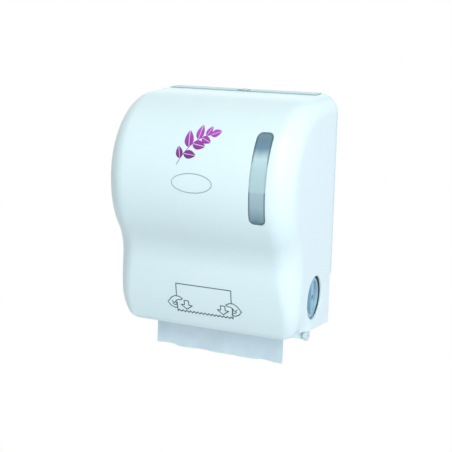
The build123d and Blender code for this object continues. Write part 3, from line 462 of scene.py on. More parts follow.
# %% Fill a pattern, and give a skin its wall
def fill_pattern(loops, inner_points=(), keep=everywhere):
    """Triangles over a flat pattern: closed loops of points, loose points between them, and a test for centres."""
    points, edges = [], []
    for loop in loops:
        start = len(points)
        points.extend(map(tuple, loop))
        edges.extend((start + k, start + (k + 1) % len(loop)) for k in range(len(loop)))
    points.extend(map(tuple, inner_points))
    verts, _, faces, *_ = delaunay_2d_cdt([Vector(p) for p in points], edges, [], 1, 1e-6)
    verts = np.array([tuple(v) for v in verts])
    faces = np.array([tuple(f) for f in faces if len(f) == 3])
    return verts, faces[keep(verts[faces].mean(axis=1))]


def piece(name, points, faces, normals=None):
    """A mesh object from points in millimetres."""
    mesh = mesh_of(name, to_frame(points).tolist(), faces=[tuple(int(i) for i in f) for f in faces])
    mesh.polygons.foreach_set("use_smooth", [True] * len(mesh.polygons))
    if normals is not None:
        facing = normals / np.linalg.norm(normals, axis=1, keepdims=True)
        mesh.normals_split_custom_set_from_vertices(facing.tolist())
    return added(name, mesh)


def shell(name, points, normals, faces, wall, rim=0.6, rim_steps=3):
    """A closed wall from an open skin, with a rounded rim round each open edge. Sizes in millimetres."""
    geo = np.cross(points[faces[:, 1]] - points[faces[:, 0]], points[faces[:, 2]] - points[faces[:, 0]])
    flip = (geo * normals[faces].mean(axis=1)).sum(axis=1) < 0
    faces = np.where(flip[:, None], faces[:, ::-1], faces)
    count = len(points)
    edges = dict.fromkeys(edge for a, b, c in faces for edge in ((a, b), (b, c), (c, a)))
    rim_edges = [(a, b) for a, b in edges if (b, a) not in edges]
    outward = np.zeros((count, 3))
    for a, b in rim_edges:
        way = np.cross(points[b] - points[a], normals[a] + normals[b])
        way /= np.linalg.norm(way)
        outward[a] += way
        outward[b] += way
    ring = sorted({v for edge in rim_edges for v in edge})
    length = np.linalg.norm(outward[ring], axis=1, keepdims=True)
    outward = outward[ring] / length * np.minimum(2 / length, 1.5)
    at = {v: k for k, v in enumerate(ring)}
    base, lead = points[ring], normals[ring]
    inner_rim = min(rim * 0.6, wall * 0.3)
    turns = [quarter * (k + 1) / rim_steps for k in range(rim_steps)]
    bands = [(outward * (rim * math.sin(t)) - lead * (rim * (1 - math.cos(t))),
              outward * math.sin(t) + lead * math.cos(t)) for t in turns]
    bands += [(outward * (rim - inner_rim * (1 - math.cos(t))) - lead * (wall - inner_rim * (1 - math.sin(t))),
               outward * math.cos(t) - lead * math.sin(t)) for t in [0.0] + turns]
    all_points = [points, points - normals * wall] + [base + offset for offset, _ in bands]
    all_normals = [normals, -normals] + [facing for _, facing in bands]
    starts = [2 * count + k * len(ring) for k in range(len(bands))]
    rows = [ring, *(range(start, start + len(ring)) for start in starts), [count + v for v in ring]]
    quads = [(low[at[b]], low[at[a]], high[at[a]], high[at[b]])
             for low, high in zip(rows, rows[1:]) for a, b in rim_edges]
    everything = [*faces, *(faces[:, ::-1] + count), *quads]
    return piece(name, np.concatenate(all_points), everything, np.concatenate(all_normals))


def dress(obj, body, slot, *nodes):
    """Gives a piece its finish and its body, and hides the frame nodes that it stands for."""
    if finishes.get(slot):
        obj.data.materials.clear()
        obj.data.materials.append(finishes[slot])
    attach(obj, body)
    if nodes:
        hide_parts(*nodes)
    print(obj.name, len(obj.data.polygons), "faces")
    return obj


# %% [markdown]
# The cover's pattern has a notch at the top rear for the lock ledge, and a tall slot for the level window. The two
# flat sides are patterns of their own, and the right one has the knob's hole. They share the points along the soft
# edges, so the skin closes there.

# %% The cover's front, in its flat pattern
rim = 0.6
notch_half, notch_depth = 122.2 + rim, 29.5 + rim
window_centre, window_half, window_corner = (96.7, 262.5), (12.3, 62.5), 8.0
drum_axis, knob_hole = (-82.5, 64.5), 33.4


def slot_distance(x, height, grow=0.0):
    """How far a point on the front is outside the window's slot. Inside it is negative."""
    over, high = (np.abs(np.asarray(place) - window_centre[k]) - window_half[k] - grow + window_corner
                  for k, place in enumerate((x, height)))
    outside = np.hypot(np.maximum(over, 0), np.maximum(high, 0))
    return outside + np.minimum(np.maximum(over, high), 0) - window_corner


def slot_loop(grow):
    """Points round the window's slot, grown on every side, as rows of (x, height)."""
    loop = rounded_box(window_centre, [half + grow for half in window_half], window_corner + grow * 0.8, 9)
    return [p for a, b in zip(loop, loop[1:] + loop[:1]) for p in run(a, b, 2.0, int)]


rows = np.linspace(rim, along_end - rim, 170)
notch_row = float(np.interp(notch_depth, -outline[:400, 0], along_table[:400]))
left_edge = [(-float(across_end(r)), float(r)) for r in rows]
right_edge = [(-a, r) for a, r in left_edge]
notch = [(-notch_half, rows[0]), (-notch_half, notch_row), (notch_half, notch_row), (notch_half, rows[0])]
top_corners = [left_edge[0], *notch, right_edge[0]]
border = [p for a, b in zip(top_corners, top_corners[1:]) for p in run(a, b)]
border += right_edge[:-1] + run(right_edge[-1], left_edge[-1]) + left_edge[:0:-1]
slot_pattern = [(x, float(along_at_height(h))) for x, h in slot_loop(rim)]
grid_across, grid_along = (g.ravel() for g in np.meshgrid(np.arange(-172, 173, 3.5), np.arange(2, along_end - 1, 3.5)))
grid_height = skin_point(grid_across * 0, grid_along)[:, 2]
free = (np.abs(grid_across) < across_end(grid_along) - 1.6) & (grid_along < rows[-1] - 1.5)
free &= ~((np.abs(grid_across) < notch_half + 1.6) & (grid_along < notch_row + 1.6))
free &= (slot_distance(grid_across, grid_height, rim) > 1.3) | (grid_along < front_from)


def off_slot(centres):
    """True for the centres of triangles outside the slot."""
    heights = skin_point(centres[:, 0] * 0, centres[:, 1])[:, 2]
    return (slot_distance(centres[:, 0], heights, rim) > 0) | (centres[:, 1] < front_from)


pattern, front_faces = fill_pattern([border, slot_pattern], zip(grid_across[free], grid_along[free]), off_slot)
front_points = skin_point(pattern[:, 0], pattern[:, 1])
front_normals = skin_normal(pattern[:, 0], pattern[:, 1])
print("front pattern:", len(pattern), "points")

# %% The cover's flat sides, and the whole cover
side_edge = skin_point(np.array([e[0] for e in right_edge]), rows)[:, 1:]
side_low = [(-100.0, 17.0 + rim), (-cover_back - rim, 0.935 + rim)]


def side_panel(sign):
    """One flat side of the cover, as points, normals and triangles. The right one has the knob's hole."""
    hole = sign > 0
    border = [tuple(p) for p in side_edge]
    border += run(border[-1], side_low[0])[1:] + run(side_low[0], side_low[1]) + run(side_low[1], border[0])
    loops, knob_rim = [border], knob_hole + rim
    ys, hs = (g.ravel() for g in np.meshgrid(np.arange(-205, -7, 5.0), np.arange(3, 360, 5.0)))
    ring = np.array(border)
    near = np.array([np.hypot(ring[:, 0] - y, ring[:, 1] - h).min() for y, h in zip(ys, hs)])
    inside = (near > 2.4) & inside_loop(ys, hs, ring)
    if hole:
        loops.append(circle(drum_axis, knob_rim, 96))
        inside &= np.hypot(ys - drum_axis[0], hs - drum_axis[1]) > knob_rim + 1.5

    def off_hole(centres):
        return np.hypot(*(centres - drum_axis).T) > knob_rim * 0.999

    flat, faces = fill_pattern(loops, zip(ys[inside], hs[inside]), off_hole if hole else everywhere)
    inset = drawn_in(half_width, *flat.T)
    lean = [(drawn_in(half_width, *(flat + shift).T) - inset) / 0.1 for shift in ((0.1, 0), (0, 0.1))]
    normals = np.column_stack([np.full(len(flat), float(sign)), *lean])
    return np.column_stack([sign * (half_width - inset), flat]), normals, faces


def joined(parts):
    """Joins panels of (points, normals, faces), with shared points made one."""
    points = np.concatenate([p for p, _, _ in parts])
    normals = np.concatenate([n for _, n, _ in parts])
    starts = np.cumsum([0] + [len(p) for p, _, _ in parts])
    faces = np.concatenate([f + start for (_, _, f), start in zip(parts, starts)])
    _, first, which = np.unique(points.round(3), axis=0, return_index=True, return_inverse=True)
    faces = which.ravel()[faces]
    whole = (faces[:, 0] != faces[:, 1]) & (faces[:, 1] != faces[:, 2]) & (faces[:, 0] != faces[:, 2])
    return points[first], normals[first], faces[whole]


cover_skin = joined([(front_points, front_normals, front_faces), side_panel(1), side_panel(-1)])
dress(shell("cover_shell", *cover_skin, cover_wall, rim), "cover", "cover_plastic", "front_cover")

# %% [markdown]
# Two ears reach back from the lip to the hinge pins. They are flat plates with a round end, so they are an outline
# with a hole, given thickness, with a small bevel on its edges.

# %% Plates with holes, and the cover's ears
def mesh_from(work, name, sharp=None):
    """A mesh from a bmesh, which is freed, with its faces smooth and its edges sharp past an angle in degrees."""
    mesh = bpy.data.meshes.new(name)
    work.to_mesh(mesh)
    work.free()
    if sharp:
        mesh.polygons.foreach_set("use_smooth", [True] * len(mesh.polygons))
        mesh.set_sharp_from_angle(angle=math.radians(sharp))
    return mesh


def plate(name, loop, holes, x_low, x_high, bevel=0.4):
    """A flat plate across x from its side outline, with round holes of (y, height, radius)."""
    loops = [loop] + [circle((y, h), r, 32) for y, h, r in holes]

    def keep(centres):
        return np.all([np.hypot(centres[:, 0] - y, centres[:, 1] - h) > r * 0.98 for y, h, r in holes], axis=0)

    flat, faces = fill_pattern(loops, [], keep)
    count = len(flat)
    work = bmesh.new()
    verts = [work.verts.new((x - np.sign(x) * corner_in(y, h), y, h)) for x in (x_low, x_high) for y, h in flat]
    for a, b, c in faces:
        work.faces.new((verts[a], verts[b], verts[c]))
        work.faces.new((verts[c + count], verts[b + count], verts[a + count]))
    start = 0
    for ring in loops:
        for k in range(len(ring)):
            a, b = start + k, start + (k + 1) % len(ring)
            work.faces.new((verts[a], verts[b], verts[b + count], verts[a + count]))
        start += len(ring)
    bmesh.ops.recalc_face_normals(work, faces=work.faces)
    bmesh.ops.dissolve_limit(work, angle_limit=math.radians(1), verts=work.verts, edges=work.edges)
    sharp = [e for e in work.edges if len(e.link_faces) == 2 and e.calc_face_angle() > math.radians(40)]
    bmesh.ops.bevel(work, geom=sharp, offset=bevel, segments=2, affect="EDGES", profile=0.6)
    for v in work.verts:
        v.co = Vector(to_frame(tuple(v.co))[0])
    return added(name, mesh_from(work, name, 35))


hinge_axis, ear_radius = (-98.0, 9.5), 7.5
ear_loop = [(-139.0, 16.6), (-143.0, 16.6), (-147.0, 25.5), (-139.5, 25.5)]
ear_loop = (ear_loop + arc_points(hinge_axis, ear_radius, 100, -100, 21))[::-1]
for side, (low, high) in (("right", (130.0, 136.5)), ("left", (-136.5, -130.0))):
    dress(plate(f"cover_ear_{side}", ear_loop, [(*hinge_axis, 3.05)], low, high), "cover", "cover_plastic")

# %% [markdown]
# The level window is smoky clear plastic, set a little back in its slot. It is wrapped on the same skin as the
# cover. Behind it the roll shows as a paler band, and the case is dark above and below. A clear piece is hard to
# export, so the window is solid here, and a ramp of colours on height paints what would show through it: the lit
# roll as the paler band, and painted shade for the dark case above and below.

# %% The level window
def wrapped(name, grow, depth, wall, rim_size):
    """A panel with the window's outline, wrapped on the skin at a depth below it."""
    xs, hs = (g.ravel() for g in np.meshgrid(np.arange(82, 114, 3.0), np.arange(196, 330, 3.0)))
    inside = slot_distance(xs, hs, grow - rim_size) < -1.0
    flat, faces = fill_pattern([slot_loop(grow - rim_size)], zip(xs[inside], hs[inside]))
    along = along_at_height(flat[:, 1])
    normals = skin_normal(flat[:, 0], along)
    return shell(name, skin_point(flat[:, 0], along) - normals * depth, normals, faces, wall, rim_size)


def band_finish(name, low, high, stops, roughness=0.4, wave=0.0, wave_scale=60, coat=0.0, painted_edge_shade=None):
    """A finish whose colour follows the height, between two places in metres. A painted edge shade darkens it by the
    piece's own edge_near attribute."""
    material, tree, shader = new_material(name, {"Roughness": roughness, "Coat Weight": coat})
    where = new_node(tree, "ShaderNodeTexCoord").outputs["Object"]
    height = new_node(tree, "ShaderNodeSeparateXYZ", {0: where}).outputs["Z"]
    noise = new_node(tree, "ShaderNodeTexNoise", {"Vector": where, "Scale": wave_scale, "Detail": 1})
    waved = new_node(tree, "ShaderNodeMath", {0: noise.outputs["Fac"], 1: wave, 2: height}, operation="MULTIPLY_ADD")
    place = new_node(tree, "ShaderNodeMapRange", {
        "Value": waved.outputs[0], "From Min": low + wave / 2, "From Max": high + wave / 2})
    shown = colour_ramp(tree, place.outputs[0], stops)
    if painted_edge_shade:
        near = new_node(tree, "ShaderNodeAttribute", attribute_name="edge_near")
        shown = colour_mix(tree, near.outputs["Fac"], shown, painted_edge_shade)
    tree.links.new(shown, shader.inputs["Base Color"])
    return material


# The ramp's colours are the smoky tint with painted light and shade: the lit roll in the middle band, and painted
# shade inside the case above and below.
smoke_and_shade_stops = [(0.0, (0.07, 0.14, 0.18)), (0.06, (0.17, 0.29, 0.35)), (0.21, (0.30, 0.45, 0.51)),
               (0.355, (0.35, 0.50, 0.55)), (0.375, (0.41, 0.58, 0.61)), (0.60, (0.43, 0.62, 0.65)),
               (0.73, (0.50, 0.69, 0.72)), (0.80, (0.25, 0.40, 0.48)), (0.85, (0.12, 0.24, 0.33)),
               (0.92, (0.11, 0.21, 0.28)), (1.0, (0.15, 0.25, 0.31))]
finishes["window_smoke"] = band_finish("window_smoke", -0.025, 0.100, smoke_and_shade_stops, 0.12, wave=0.008, coat=0.5,
                                       painted_edge_shade=(0.02, 0.05, 0.065))
window_plug = dress(wrapped("window_plug", -0.15, 0.7, 2.1, 0.4), "cover", "window_smoke", "level_window")
window_flange = dress(wrapped("window_flange", 4.0, 2.85, 1.15, 0.3), "cover", "window_smoke")
# Painted shade on the window's edges: the attribute says how near each point is to the slot's edge. It is strongest
# above and below the roll's band, and weaker in a small spot at the bottom middle.
band_low, band_high, spot_top_height = 248.5, 281, 206
for obj in (window_plug, window_flange):
    places = np.array([v.co for v in obj.data.vertices]) * 1000
    heights = places[:, 2] + screw_height
    near = np.clip(1 + slot_distance(places[:, 0], heights) / 2.2, 0, 1)
    dark_ends = 0.3 + 0.7 * (eased((heights - band_high) / 8) + 0.9 * eased((band_low - heights) / 2))
    bottom_middle_spot = np.exp(-((places[:, 0] - window_centre[0]) / 4) ** 2) * eased((spot_top_height - heights) / 4)
    dark_ends = dark_ends * (1 - 0.85 * bottom_middle_spot)
    shade = obj.data.attributes.new("edge_near", "FLOAT", "POINT")
    shade.data.foreach_set("value", (near * dark_ends).clip(0, 1).astype(np.float32))

# %% [markdown]
# Some things on this object are copies, such as screws and leaves, and some follow a line, such as printed strokes
# and spring wire. Geometry Nodes suit both. One tree lays a round tube along strokes. The other puts a copy of a
# small object at each point, with that point's own turn and size. Each tree ends in real geometry with its
# material, and the result is taken out as a plain mesh, because an export drops live instances.

# %% Two trees: a tube along strokes, and copies at points
def new_tree(name, sockets):
    """An empty tree whose named inputs are (name, kind), and its input node."""
    tree = bpy.data.node_groups.new(name, "GeometryNodeTree")
    for label, kind in (("Geometry", "Geometry"), *sockets, ("Finish", "Material")):
        tree.interface.new_socket(label, in_out="INPUT", socket_type=f"NodeSocket{kind}")
    tree.interface.new_socket("Geometry", in_out="OUTPUT", socket_type="NodeSocketGeometry")
    return tree, new_node(tree, "NodeGroupInput").outputs


def end_tree(tree, given, result):
    """Ends a tree with real geometry and its material."""
    real = new_node(tree, "GeometryNodeRealizeInstances", {0: result.outputs[0]})
    paint = new_node(tree, "GeometryNodeSetMaterial", {"Geometry": real.outputs[0], "Material": given["Finish"]})
    new_node(tree, "NodeGroupOutput", {0: paint.outputs[0]})


tube_tree, given = new_tree("tube_along", [("Radius", "Float"), ("Step", "Float"), ("Sides", "Int")])
to_curve = new_node(tube_tree, "GeometryNodeMeshToCurve", {0: given["Geometry"]})
even = new_node(tube_tree, "GeometryNodeResampleCurve", {"Curve": to_curve.outputs[0], "Length": given["Step"]},
                mode="LENGTH")
ring = new_node(tube_tree, "GeometryNodeCurvePrimitiveCircle", {
    "Resolution": given["Sides"], "Radius": given["Radius"]})
sweep = new_node(tube_tree, "GeometryNodeCurveToMesh", {
    "Curve": even.outputs[0], "Profile Curve": ring.outputs[0], "Fill Caps": True})
end_tree(tube_tree, given, sweep)

copy_tree, given = new_tree("copies_at", [("Pattern", "Object")])
pattern_info = new_node(copy_tree, "GeometryNodeObjectInfo", {"Object": given["Pattern"]})
turn, size = (new_node(copy_tree, "GeometryNodeInputNamedAttribute", {"Name": label}, data_type="FLOAT").outputs[0]
              for label in ("turn", "size"))
spin = new_node(copy_tree, "ShaderNodeCombineXYZ", {"Z": turn})
as_turn = new_node(copy_tree, "FunctionNodeEulerToRotation", {0: spin.outputs[0]})
put = new_node(copy_tree, "GeometryNodeInstanceOnPoints", {
    "Points": given["Geometry"], "Instance": pattern_info.outputs["Geometry"], "Rotation": as_turn.outputs[0],
    "Scale": size})
end_tree(copy_tree, given, put)


def grown(name, mesh, tree, **inputs):
    """Runs a tree on a mesh, and gives back a plain object."""
    obj = added(name, mesh)
    modifier = obj.modifiers.new("tree", "NODES")
    modifier.node_group = tree
    for item in tree.interface.items_tree:
        if item.item_type == "SOCKET" and item.in_out == "INPUT" and item.name in inputs:
            modifier[item.identifier] = inputs[item.name]
    bpy.context.view_layer.update()
    result = bpy.data.meshes.new_from_object(obj.evaluated_get(bpy.context.evaluated_depsgraph_get()))
    result.name = name
    obj.modifiers.clear()
    obj.data = result
    result.polygons.foreach_set("use_smooth", [True] * len(result.polygons))
    return obj


def moved(obj, rule):
    """Moves every vertex of a piece by a rule on rows of (x, y, z), all in millimetres, then into the frame."""
    here = np.array([v.co for v in obj.data.vertices])
    obj.data.vertices.foreach_set("co", to_frame(rule(here)).ravel())
    obj.data.update()
    return obj


print(len(tube_tree.nodes), "and", len(copy_tree.nodes), "nodes")

# %% [markdown]
# The picture on the lower front shows how to use the machine: take the sheet at its two corners and pull it down
# along the cutter. It is screen printed in thin grey-green lines. The strokes are drawn flat, in millimetres
# across and up, and the tube tree gives them body. Then each vertex is laid on the skin, and its thickness is pressed
# down to a film of ink, so the print follows the curve of the front.

# %% Printed lines on the front
# The picture's ink is print. The moulded oval's darker colour is painted shade along its raised frame.
for slot, colour in (("line_ink", (0.035, 0.085, 0.095)), ("emboss_line", (0.30, 0.40, 0.41))):
    finishes[slot] = finish(slot, colour, 0.45, drift=0.12, drift_scale=40, grain=0.00001)


def stroke_mesh(name, strokes):
    """One mesh of edges from strokes of (x, height). A stroke that ends where it began is closed."""
    points, edges = [], []
    for stroke in strokes:
        closed = stroke[0] == stroke[-1]
        start, count = len(points), len(stroke) - closed
        points += [(x, h, 0.0) for x, h in stroke[:count]]
        edges += [(start + k, start + k + 1) for k in range(count - 1)]
        if closed:
            edges.append((start + count - 1, start))
    return mesh_of(name, points, edges)


def press(points, lift, film):
    """Lays flat drawing points on the front, with their depth pressed down to a film."""
    across, along = points[:, 0], along_at_height(points[:, 1])
    return skin_point(across, along) + skin_normal(across, along) * (lift + points[:, 2] * film)[:, None]


def printed(name, strokes, width, slot, lift=0.05, film=0.12):
    """Strokes as thin lines on the front."""
    lines = grown(name, stroke_mesh(name, strokes), tube_tree, Radius=width / 2, Step=0.8, Sides=8,
                  Finish=finishes[slot])
    return dress(moved(lines, lambda points: press(points, lift, film)), "cover", slot)


def drawn_at(strokes, offset, turned_over=False):
    """Strokes moved across by an offset, after they are turned over if asked."""
    return [[((-x if turned_over else x) + offset, h) for x, h in stroke] for stroke in strokes]


sheet_top, sheet_half, sheet_middle, tear_height = 88.1, 44.3, 1.2, 41.8
tear_pitch, tear_depth, tear_left, tear_right = 6.0, 3.2, -43.3, 46.7
teeth = int((tear_right - tear_left) / tear_pitch)
tear = [(tear_left + k * tear_pitch / 2, tear_height + (tear_depth if k % 2 else 0)) for k in range(2 * teeth + 1)]
hand = [[(-32.5, 64.0), (-38.0, 67.2), (-44.5, 67.6), (-50.5, 64.0), (-57.0, 56.0), (-52.5, 50.0), (-46.0, 47.2),
         (-41.5, 48.6), (-42.6, 53.5), (-44.2, 58.5), (-40.0, 61.6), (-35.0, 61.8), (-32.5, 64.0)],
        [(-50.5, 58.5), (-47.5, 55.6), (-44.4, 56.4)], [(-49.5, 54.6), (-46.4, 52.0), (-43.2, 52.6)]]
arrow = [[(-28.8, 61.5), (-21.6, 61.5), (-21.6, 54.2), (-15.8, 54.2), (-25.2, 47.0), (-34.6, 54.2), (-28.8, 54.2),
          (-28.8, 61.5)]]
sheet_left, sheet_right = sheet_middle - sheet_half, sheet_middle + sheet_half
sheet_lines = [[(sheet_left, 68.0), (sheet_left, sheet_top), (sheet_right, sheet_top), (sheet_right, 67.0)],
               [(-43.0, 57.5), tear[0]], [(46.4, 61.0), tear[-1]]]
use_lines = sheet_lines + drawn_at(hand, -1.2) + drawn_at(arrow, -2.4)
use_lines += drawn_at(hand, 4.0, turned_over=True) + drawn_at(arrow, 6.2, turned_over=True)
printed("use_picture", use_lines, 1.55, "line_ink")
printed("use_picture_tear_line", [tear], 1.7, "line_ink")

# %% [markdown]
# Above the waist is a moulded oval, a plain frame that stands a hair proud of the skin. It is the same tube, wider
# and left half sunk. Its darker grey-green colour is painted shade along the raised frame.

# %% The moulded oval
oval = [(30.5 * math.cos(t) - 0.8, 250.9 + 13.4 * math.sin(t)) for t in np.linspace(0, full_turn, 97)]
oval[-1] = oval[0]
printed("moulded_oval", [oval], 1.3, "emboss_line", lift=0.0, film=0.4)

# %% [markdown]
# The ornament at the upper left is a sprig of leaves in purple ink, darker below and lighter above. A leaf is made
# once as a flat mesh with a slit for its vein, and the copy tree sets it along the stem, each with its own turn and
# size. Then the sprig is pressed on the skin like the lines.

# %% The printed sprig
sprig_stops = [(0.0, (0.11, 0.012, 0.14)), (0.35, (0.24, 0.02, 0.27)), (0.75, (0.42, 0.05, 0.46)),
               (1.0, (0.56, 0.13, 0.60))]
finishes["sprig_ink"] = band_finish("sprig_ink", 0.052, 0.108, sprig_stops, 0.4, wave=0.01, wave_scale=90)


# A leaf of unit length. Each half has three rows of points beside its vein.
leaf_steps = 12
leaf_run = np.linspace(0.0, 1.0, leaf_steps + 1)
leaf_width = 0.29 * np.sin(np.pi * leaf_run ** 0.8) ** 0.85
leaf_points = [(t, side * (0.018 + share * w), 0.0)
               for side in (1, -1) for t, w in zip(leaf_run, leaf_width) for share in (0, 0.5, 1)]
leaf_faces = [(a, a + 3, a + 4, a + 1)[::side] for side, start in ((1, 0), (-1, 3 * len(leaf_run)))
              for k in range(leaf_steps) for a in (start + 3 * k, start + 3 * k + 1)]
leaf = bpy.data.objects.new("leaf", mesh_of("leaf", leaf_points, faces=leaf_faces))
stem_run = np.linspace(0, 1, 41)
stem = np.column_stack([-26 + 44 * stem_run ** 1.15, 275 + 42 * stem_run + 9 * np.sin(stem_run * np.pi)])
leaf_places, leaf_turns, leaf_sizes = [], [], []
for share, lean, length in ((0.14, 48, 17), (0.24, -62, 19), (0.38, 52, 22), (0.49, -52, 20), (0.63, 52, 19),
                            (0.73, -46, 16), (0.86, 46, 14), (0.98, 4, 16)):
    k = int(share * 40)
    way = stem[min(k + 1, 40)] - stem[k - 1]
    leaf_places.append((*stem[k], 0.0))
    leaf_turns.append(math.atan2(way[1], way[0]) + math.radians(lean))
    leaf_sizes.append(length)


def copies(name, places, turns, sizes, pattern, slot):
    """Copies of a small object at places, each with its turn and size."""
    points = mesh_of(name, [tuple(p) for p in places])
    for label, values in (("turn", turns), ("size", sizes)):
        points.attributes.new(label, "FLOAT", "POINT").data.foreach_set("value", [float(v) for v in values])
    print(name, len(places), "copies")
    return grown(name, points, copy_tree, Pattern=pattern, Finish=finishes[slot])


leaves = copies("printed_sprig_leaves", leaf_places, leaf_turns, leaf_sizes, leaf, "sprig_ink")
dress(moved(leaves, lambda points: press(points, 0.09, 0)), "cover", "sprig_ink")
printed("printed_sprig_stem", [[tuple(p) for p in stem]], 0.9, "sprig_ink")

# %% [markdown]
# The towel is one sheet of soft crepe paper. It comes off the back of the roll, goes down behind the pinch rollers
# and into the nip, round the front of the drum, and out under the cover's lip. Paper bends one way at a time, so
# the sheet is a path in the side view carried straight across, with slight waves below the lip where nothing holds
# it. The tear at the bottom is ragged, because each piece is pulled off along the saw teeth.

# %% The paper's path and its sheet
roll_axis, roll_radius, paper_half = (-108.0, 244.0), 37.0, 106.0
pinch_axis = (-77.19, 115.02)
paper_path = [(-70.4, 244.0), (-69.6, 180.0)]
paper_path += arc_points(pinch_axis, 8.3, 2, -92, 23) + arc_points(drum_axis, 42.75, 84, 186, 25)
paper_path += [(-124.2, 52.0), (-122.6, 42.0), (-119.5, 33.4), (-113.0, 27.0), (-108.4, 22.4), (-105.6, 18.5),
               (-104.9, 12.0), (-104.8, 0.0), (-104.8, -39.0)]
path = np.array(paper_path)
path_table = np.concatenate([[0], np.cumsum(np.linalg.norm(np.diff(path, axis=0), axis=1))])
steps = np.unique(np.concatenate([np.arange(0, path_table[-1], 2.0), path_table]))
steps = steps[np.concatenate([[True], np.diff(steps) > 0.3])]
path = np.stack([np.interp(steps, path_table, path[:, k]) for k in (0, 1)], axis=1)
smooth = np.array([0.25, 0.5, 0.25])
for _ in range(3):
    path[1:-1] = np.stack([np.convolve(path[:, k], smooth, mode="valid") for k in (0, 1)], axis=1)
columns = np.linspace(-paper_half, paper_half, 107)
noise = np.random.default_rng(7)
ragged = np.convolve(noise.normal(0, 0.55, len(columns) + 4), np.ones(3) / 3, mode="valid")[:len(columns)]
bottom = np.interp(columns, [-106, -92, -80, -66, -40, 0, 60, 106],
                   [-36.6, -36.2, -36.8, -40.2, -40.4, -39.8, -40.6, -41.0])
bottom = bottom + ragged + 0.5 * np.abs((columns / 6.0) % 1 - 0.5)
sheet_points = np.zeros((len(path), len(columns), 3))
for row, (y, h) in enumerate(path):
    loose = max(0.0, (16.0 - h) / 56.0) if row > len(path) / 2 else 0.0
    drop = (bottom + 39.0) * loose
    wave = loose * (1.7 * np.sin(columns / 19 + 0.6) + 1.5 * np.sin(columns / 8.5 + 2) * loose
                    + 2.2 * np.exp(-((columns + 88) / 15) ** 2))
    sheet_points[row] = np.column_stack([columns, y - wave, h + drop])
points = sheet_points.reshape(-1, 3)
wide = len(columns)
quads = np.array([(r * wide + c, r * wide + c + 1, (r + 1) * wide + c + 1, (r + 1) * wide + c)
                  for r in range(len(path) - 1) for c in range(wide - 1)])
triangles = np.concatenate([quads[:, [0, 1, 2]], quads[:, [0, 2, 3]]])
down, over = np.gradient(sheet_points, axis=0), np.gradient(sheet_points, axis=1)
normals = np.cross(over, down).reshape(-1, 3)
normals /= np.linalg.norm(normals, axis=1, keepdims=True)
paper = shell("towel_sheet", points + normals * 0.11, normals, triangles, 0.22, 0.08, 2)

# %% [markdown]
# Towel paper is embossed with small dots so that it drinks, and creped across. Light comes through it, so its
# shadow side is still pale. The dots and the crepe are bump, from a Voronoi and a stretched noise texture.

# %% The towel paper's finish
towel = finish("towel_paper", (0.74, 0.90, 1.0), 0.92, drift=0.05, drift_scale=34, grain=0.0001, grain_scale=260,
               stretch=(1, 0.4, 1), shine=0.2)
tree = towel.node_tree
shader = tree.nodes["Principled BSDF"]
for label, value in (("Subsurface Weight", 0.1), ("Subsurface Radius", (0.004, 0.004, 0.004)),
                     ("Subsurface Scale", 0.5)):
    shader.inputs[label].default_value = value
where, crepe = (next(n for n in tree.nodes if n.type == kind).outputs for kind in ("TEX_COORD", "BUMP"))
dots = new_node(tree, "ShaderNodeTexVoronoi", {"Vector": where["Object"], "Scale": 330, "Randomness": 0.12})
both = new_node(tree, "ShaderNodeBump", {
    "Height": dots.outputs["Distance"], "Normal": crepe["Normal"], "Strength": 0.5, "Distance": 0.0002})
tree.links.new(both.outputs["Normal"], shader.inputs["Normal"])
finishes["towel_paper"] = towel
dress(paper, "root", "towel_paper", "paper_tail", "paper_web")

# %% [markdown]
# A roll of paper is wound in hundreds of turns, and its two ends show them as fine rings. A turned profile
# with small steps gives those rings real edges. The cardboard core has a wall of its own inside it.

# %% Turned pieces, and the roll
def turned(name, profile, axis, steps=96, closed=True):
    """A piece turned about a line across the case, from a profile of (x, radius), at an axis of (y, height)."""
    count = len(profile)
    points = [(x, axis[0] + r * math.cos(t), axis[1] + r * math.sin(t))
              for t in (full_turn * k / steps for k in range(steps)) for x, r in profile]
    faces = []
    for k in range(steps):
        here, there = k * count, (k + 1) % steps * count
        faces += [(here + j, there + j, there + (j + 1) % count, here + (j + 1) % count)
                  for j in range(count if closed else count - 1)]
    obj = piece(name, np.array(points), faces)
    work = bmesh.new()
    work.from_mesh(obj.data)
    bmesh.ops.remove_doubles(work, verts=work.verts, dist=1e-6)
    bmesh.ops.recalc_face_normals(work, faces=work.faces)
    work.to_mesh(obj.data)
    work.free()
    obj.data.set_sharp_from_angle(angle=math.radians(32))
    return obj


def both_ends(profile):
    """A profile of one end, with its mirror image for the other end."""
    return profile + [(-x, r) for x, r in profile[::-1]]


core_radius, core_wall = 22.0, 2.0
wound = np.arange(core_radius + 0.15, roll_radius - 0.3, 0.75)
roll_end = [(paper_half - (0.0 if k % 2 else 0.35), r) for k, r in enumerate(wound)]
roll_end += [(paper_half - 0.25, roll_radius - 0.15), (paper_half - 0.8, roll_radius)]
dress(turned("wound_paper", both_ends(roll_end), roll_axis, 128), "roll", "towel_paper", "paper_roll")
core_end = [(paper_half - 0.2, core_radius - 0.1), (paper_half, core_radius - 0.5),
            (paper_half, core_radius - core_wall + 0.4), (paper_half - 0.3, core_radius - core_wall)]
dress(turned("board_core", both_ends(core_end), roll_axis), "roll", "core_board", "roll_core")

# %% [markdown]
# The pieces from the frame have exact shapes but knife-sharp edges, and no moulded or pressed piece has those. For
# each, a copy of its mesh is merged, its flat faces are dissolved back to plain ones, and every sharp edge gets a
# small round. Light then draws a fine line along the edges, as it does on the real thing.

# %% Softened edges on the frame's pieces
node_slots = {entry["node"]: entry["material_slot"] for entry in frame["record"]["subparts"]}
node_bodies = {node: body for body, members in frame["record"]["behaviour"]["bodies"].items() for node in members}


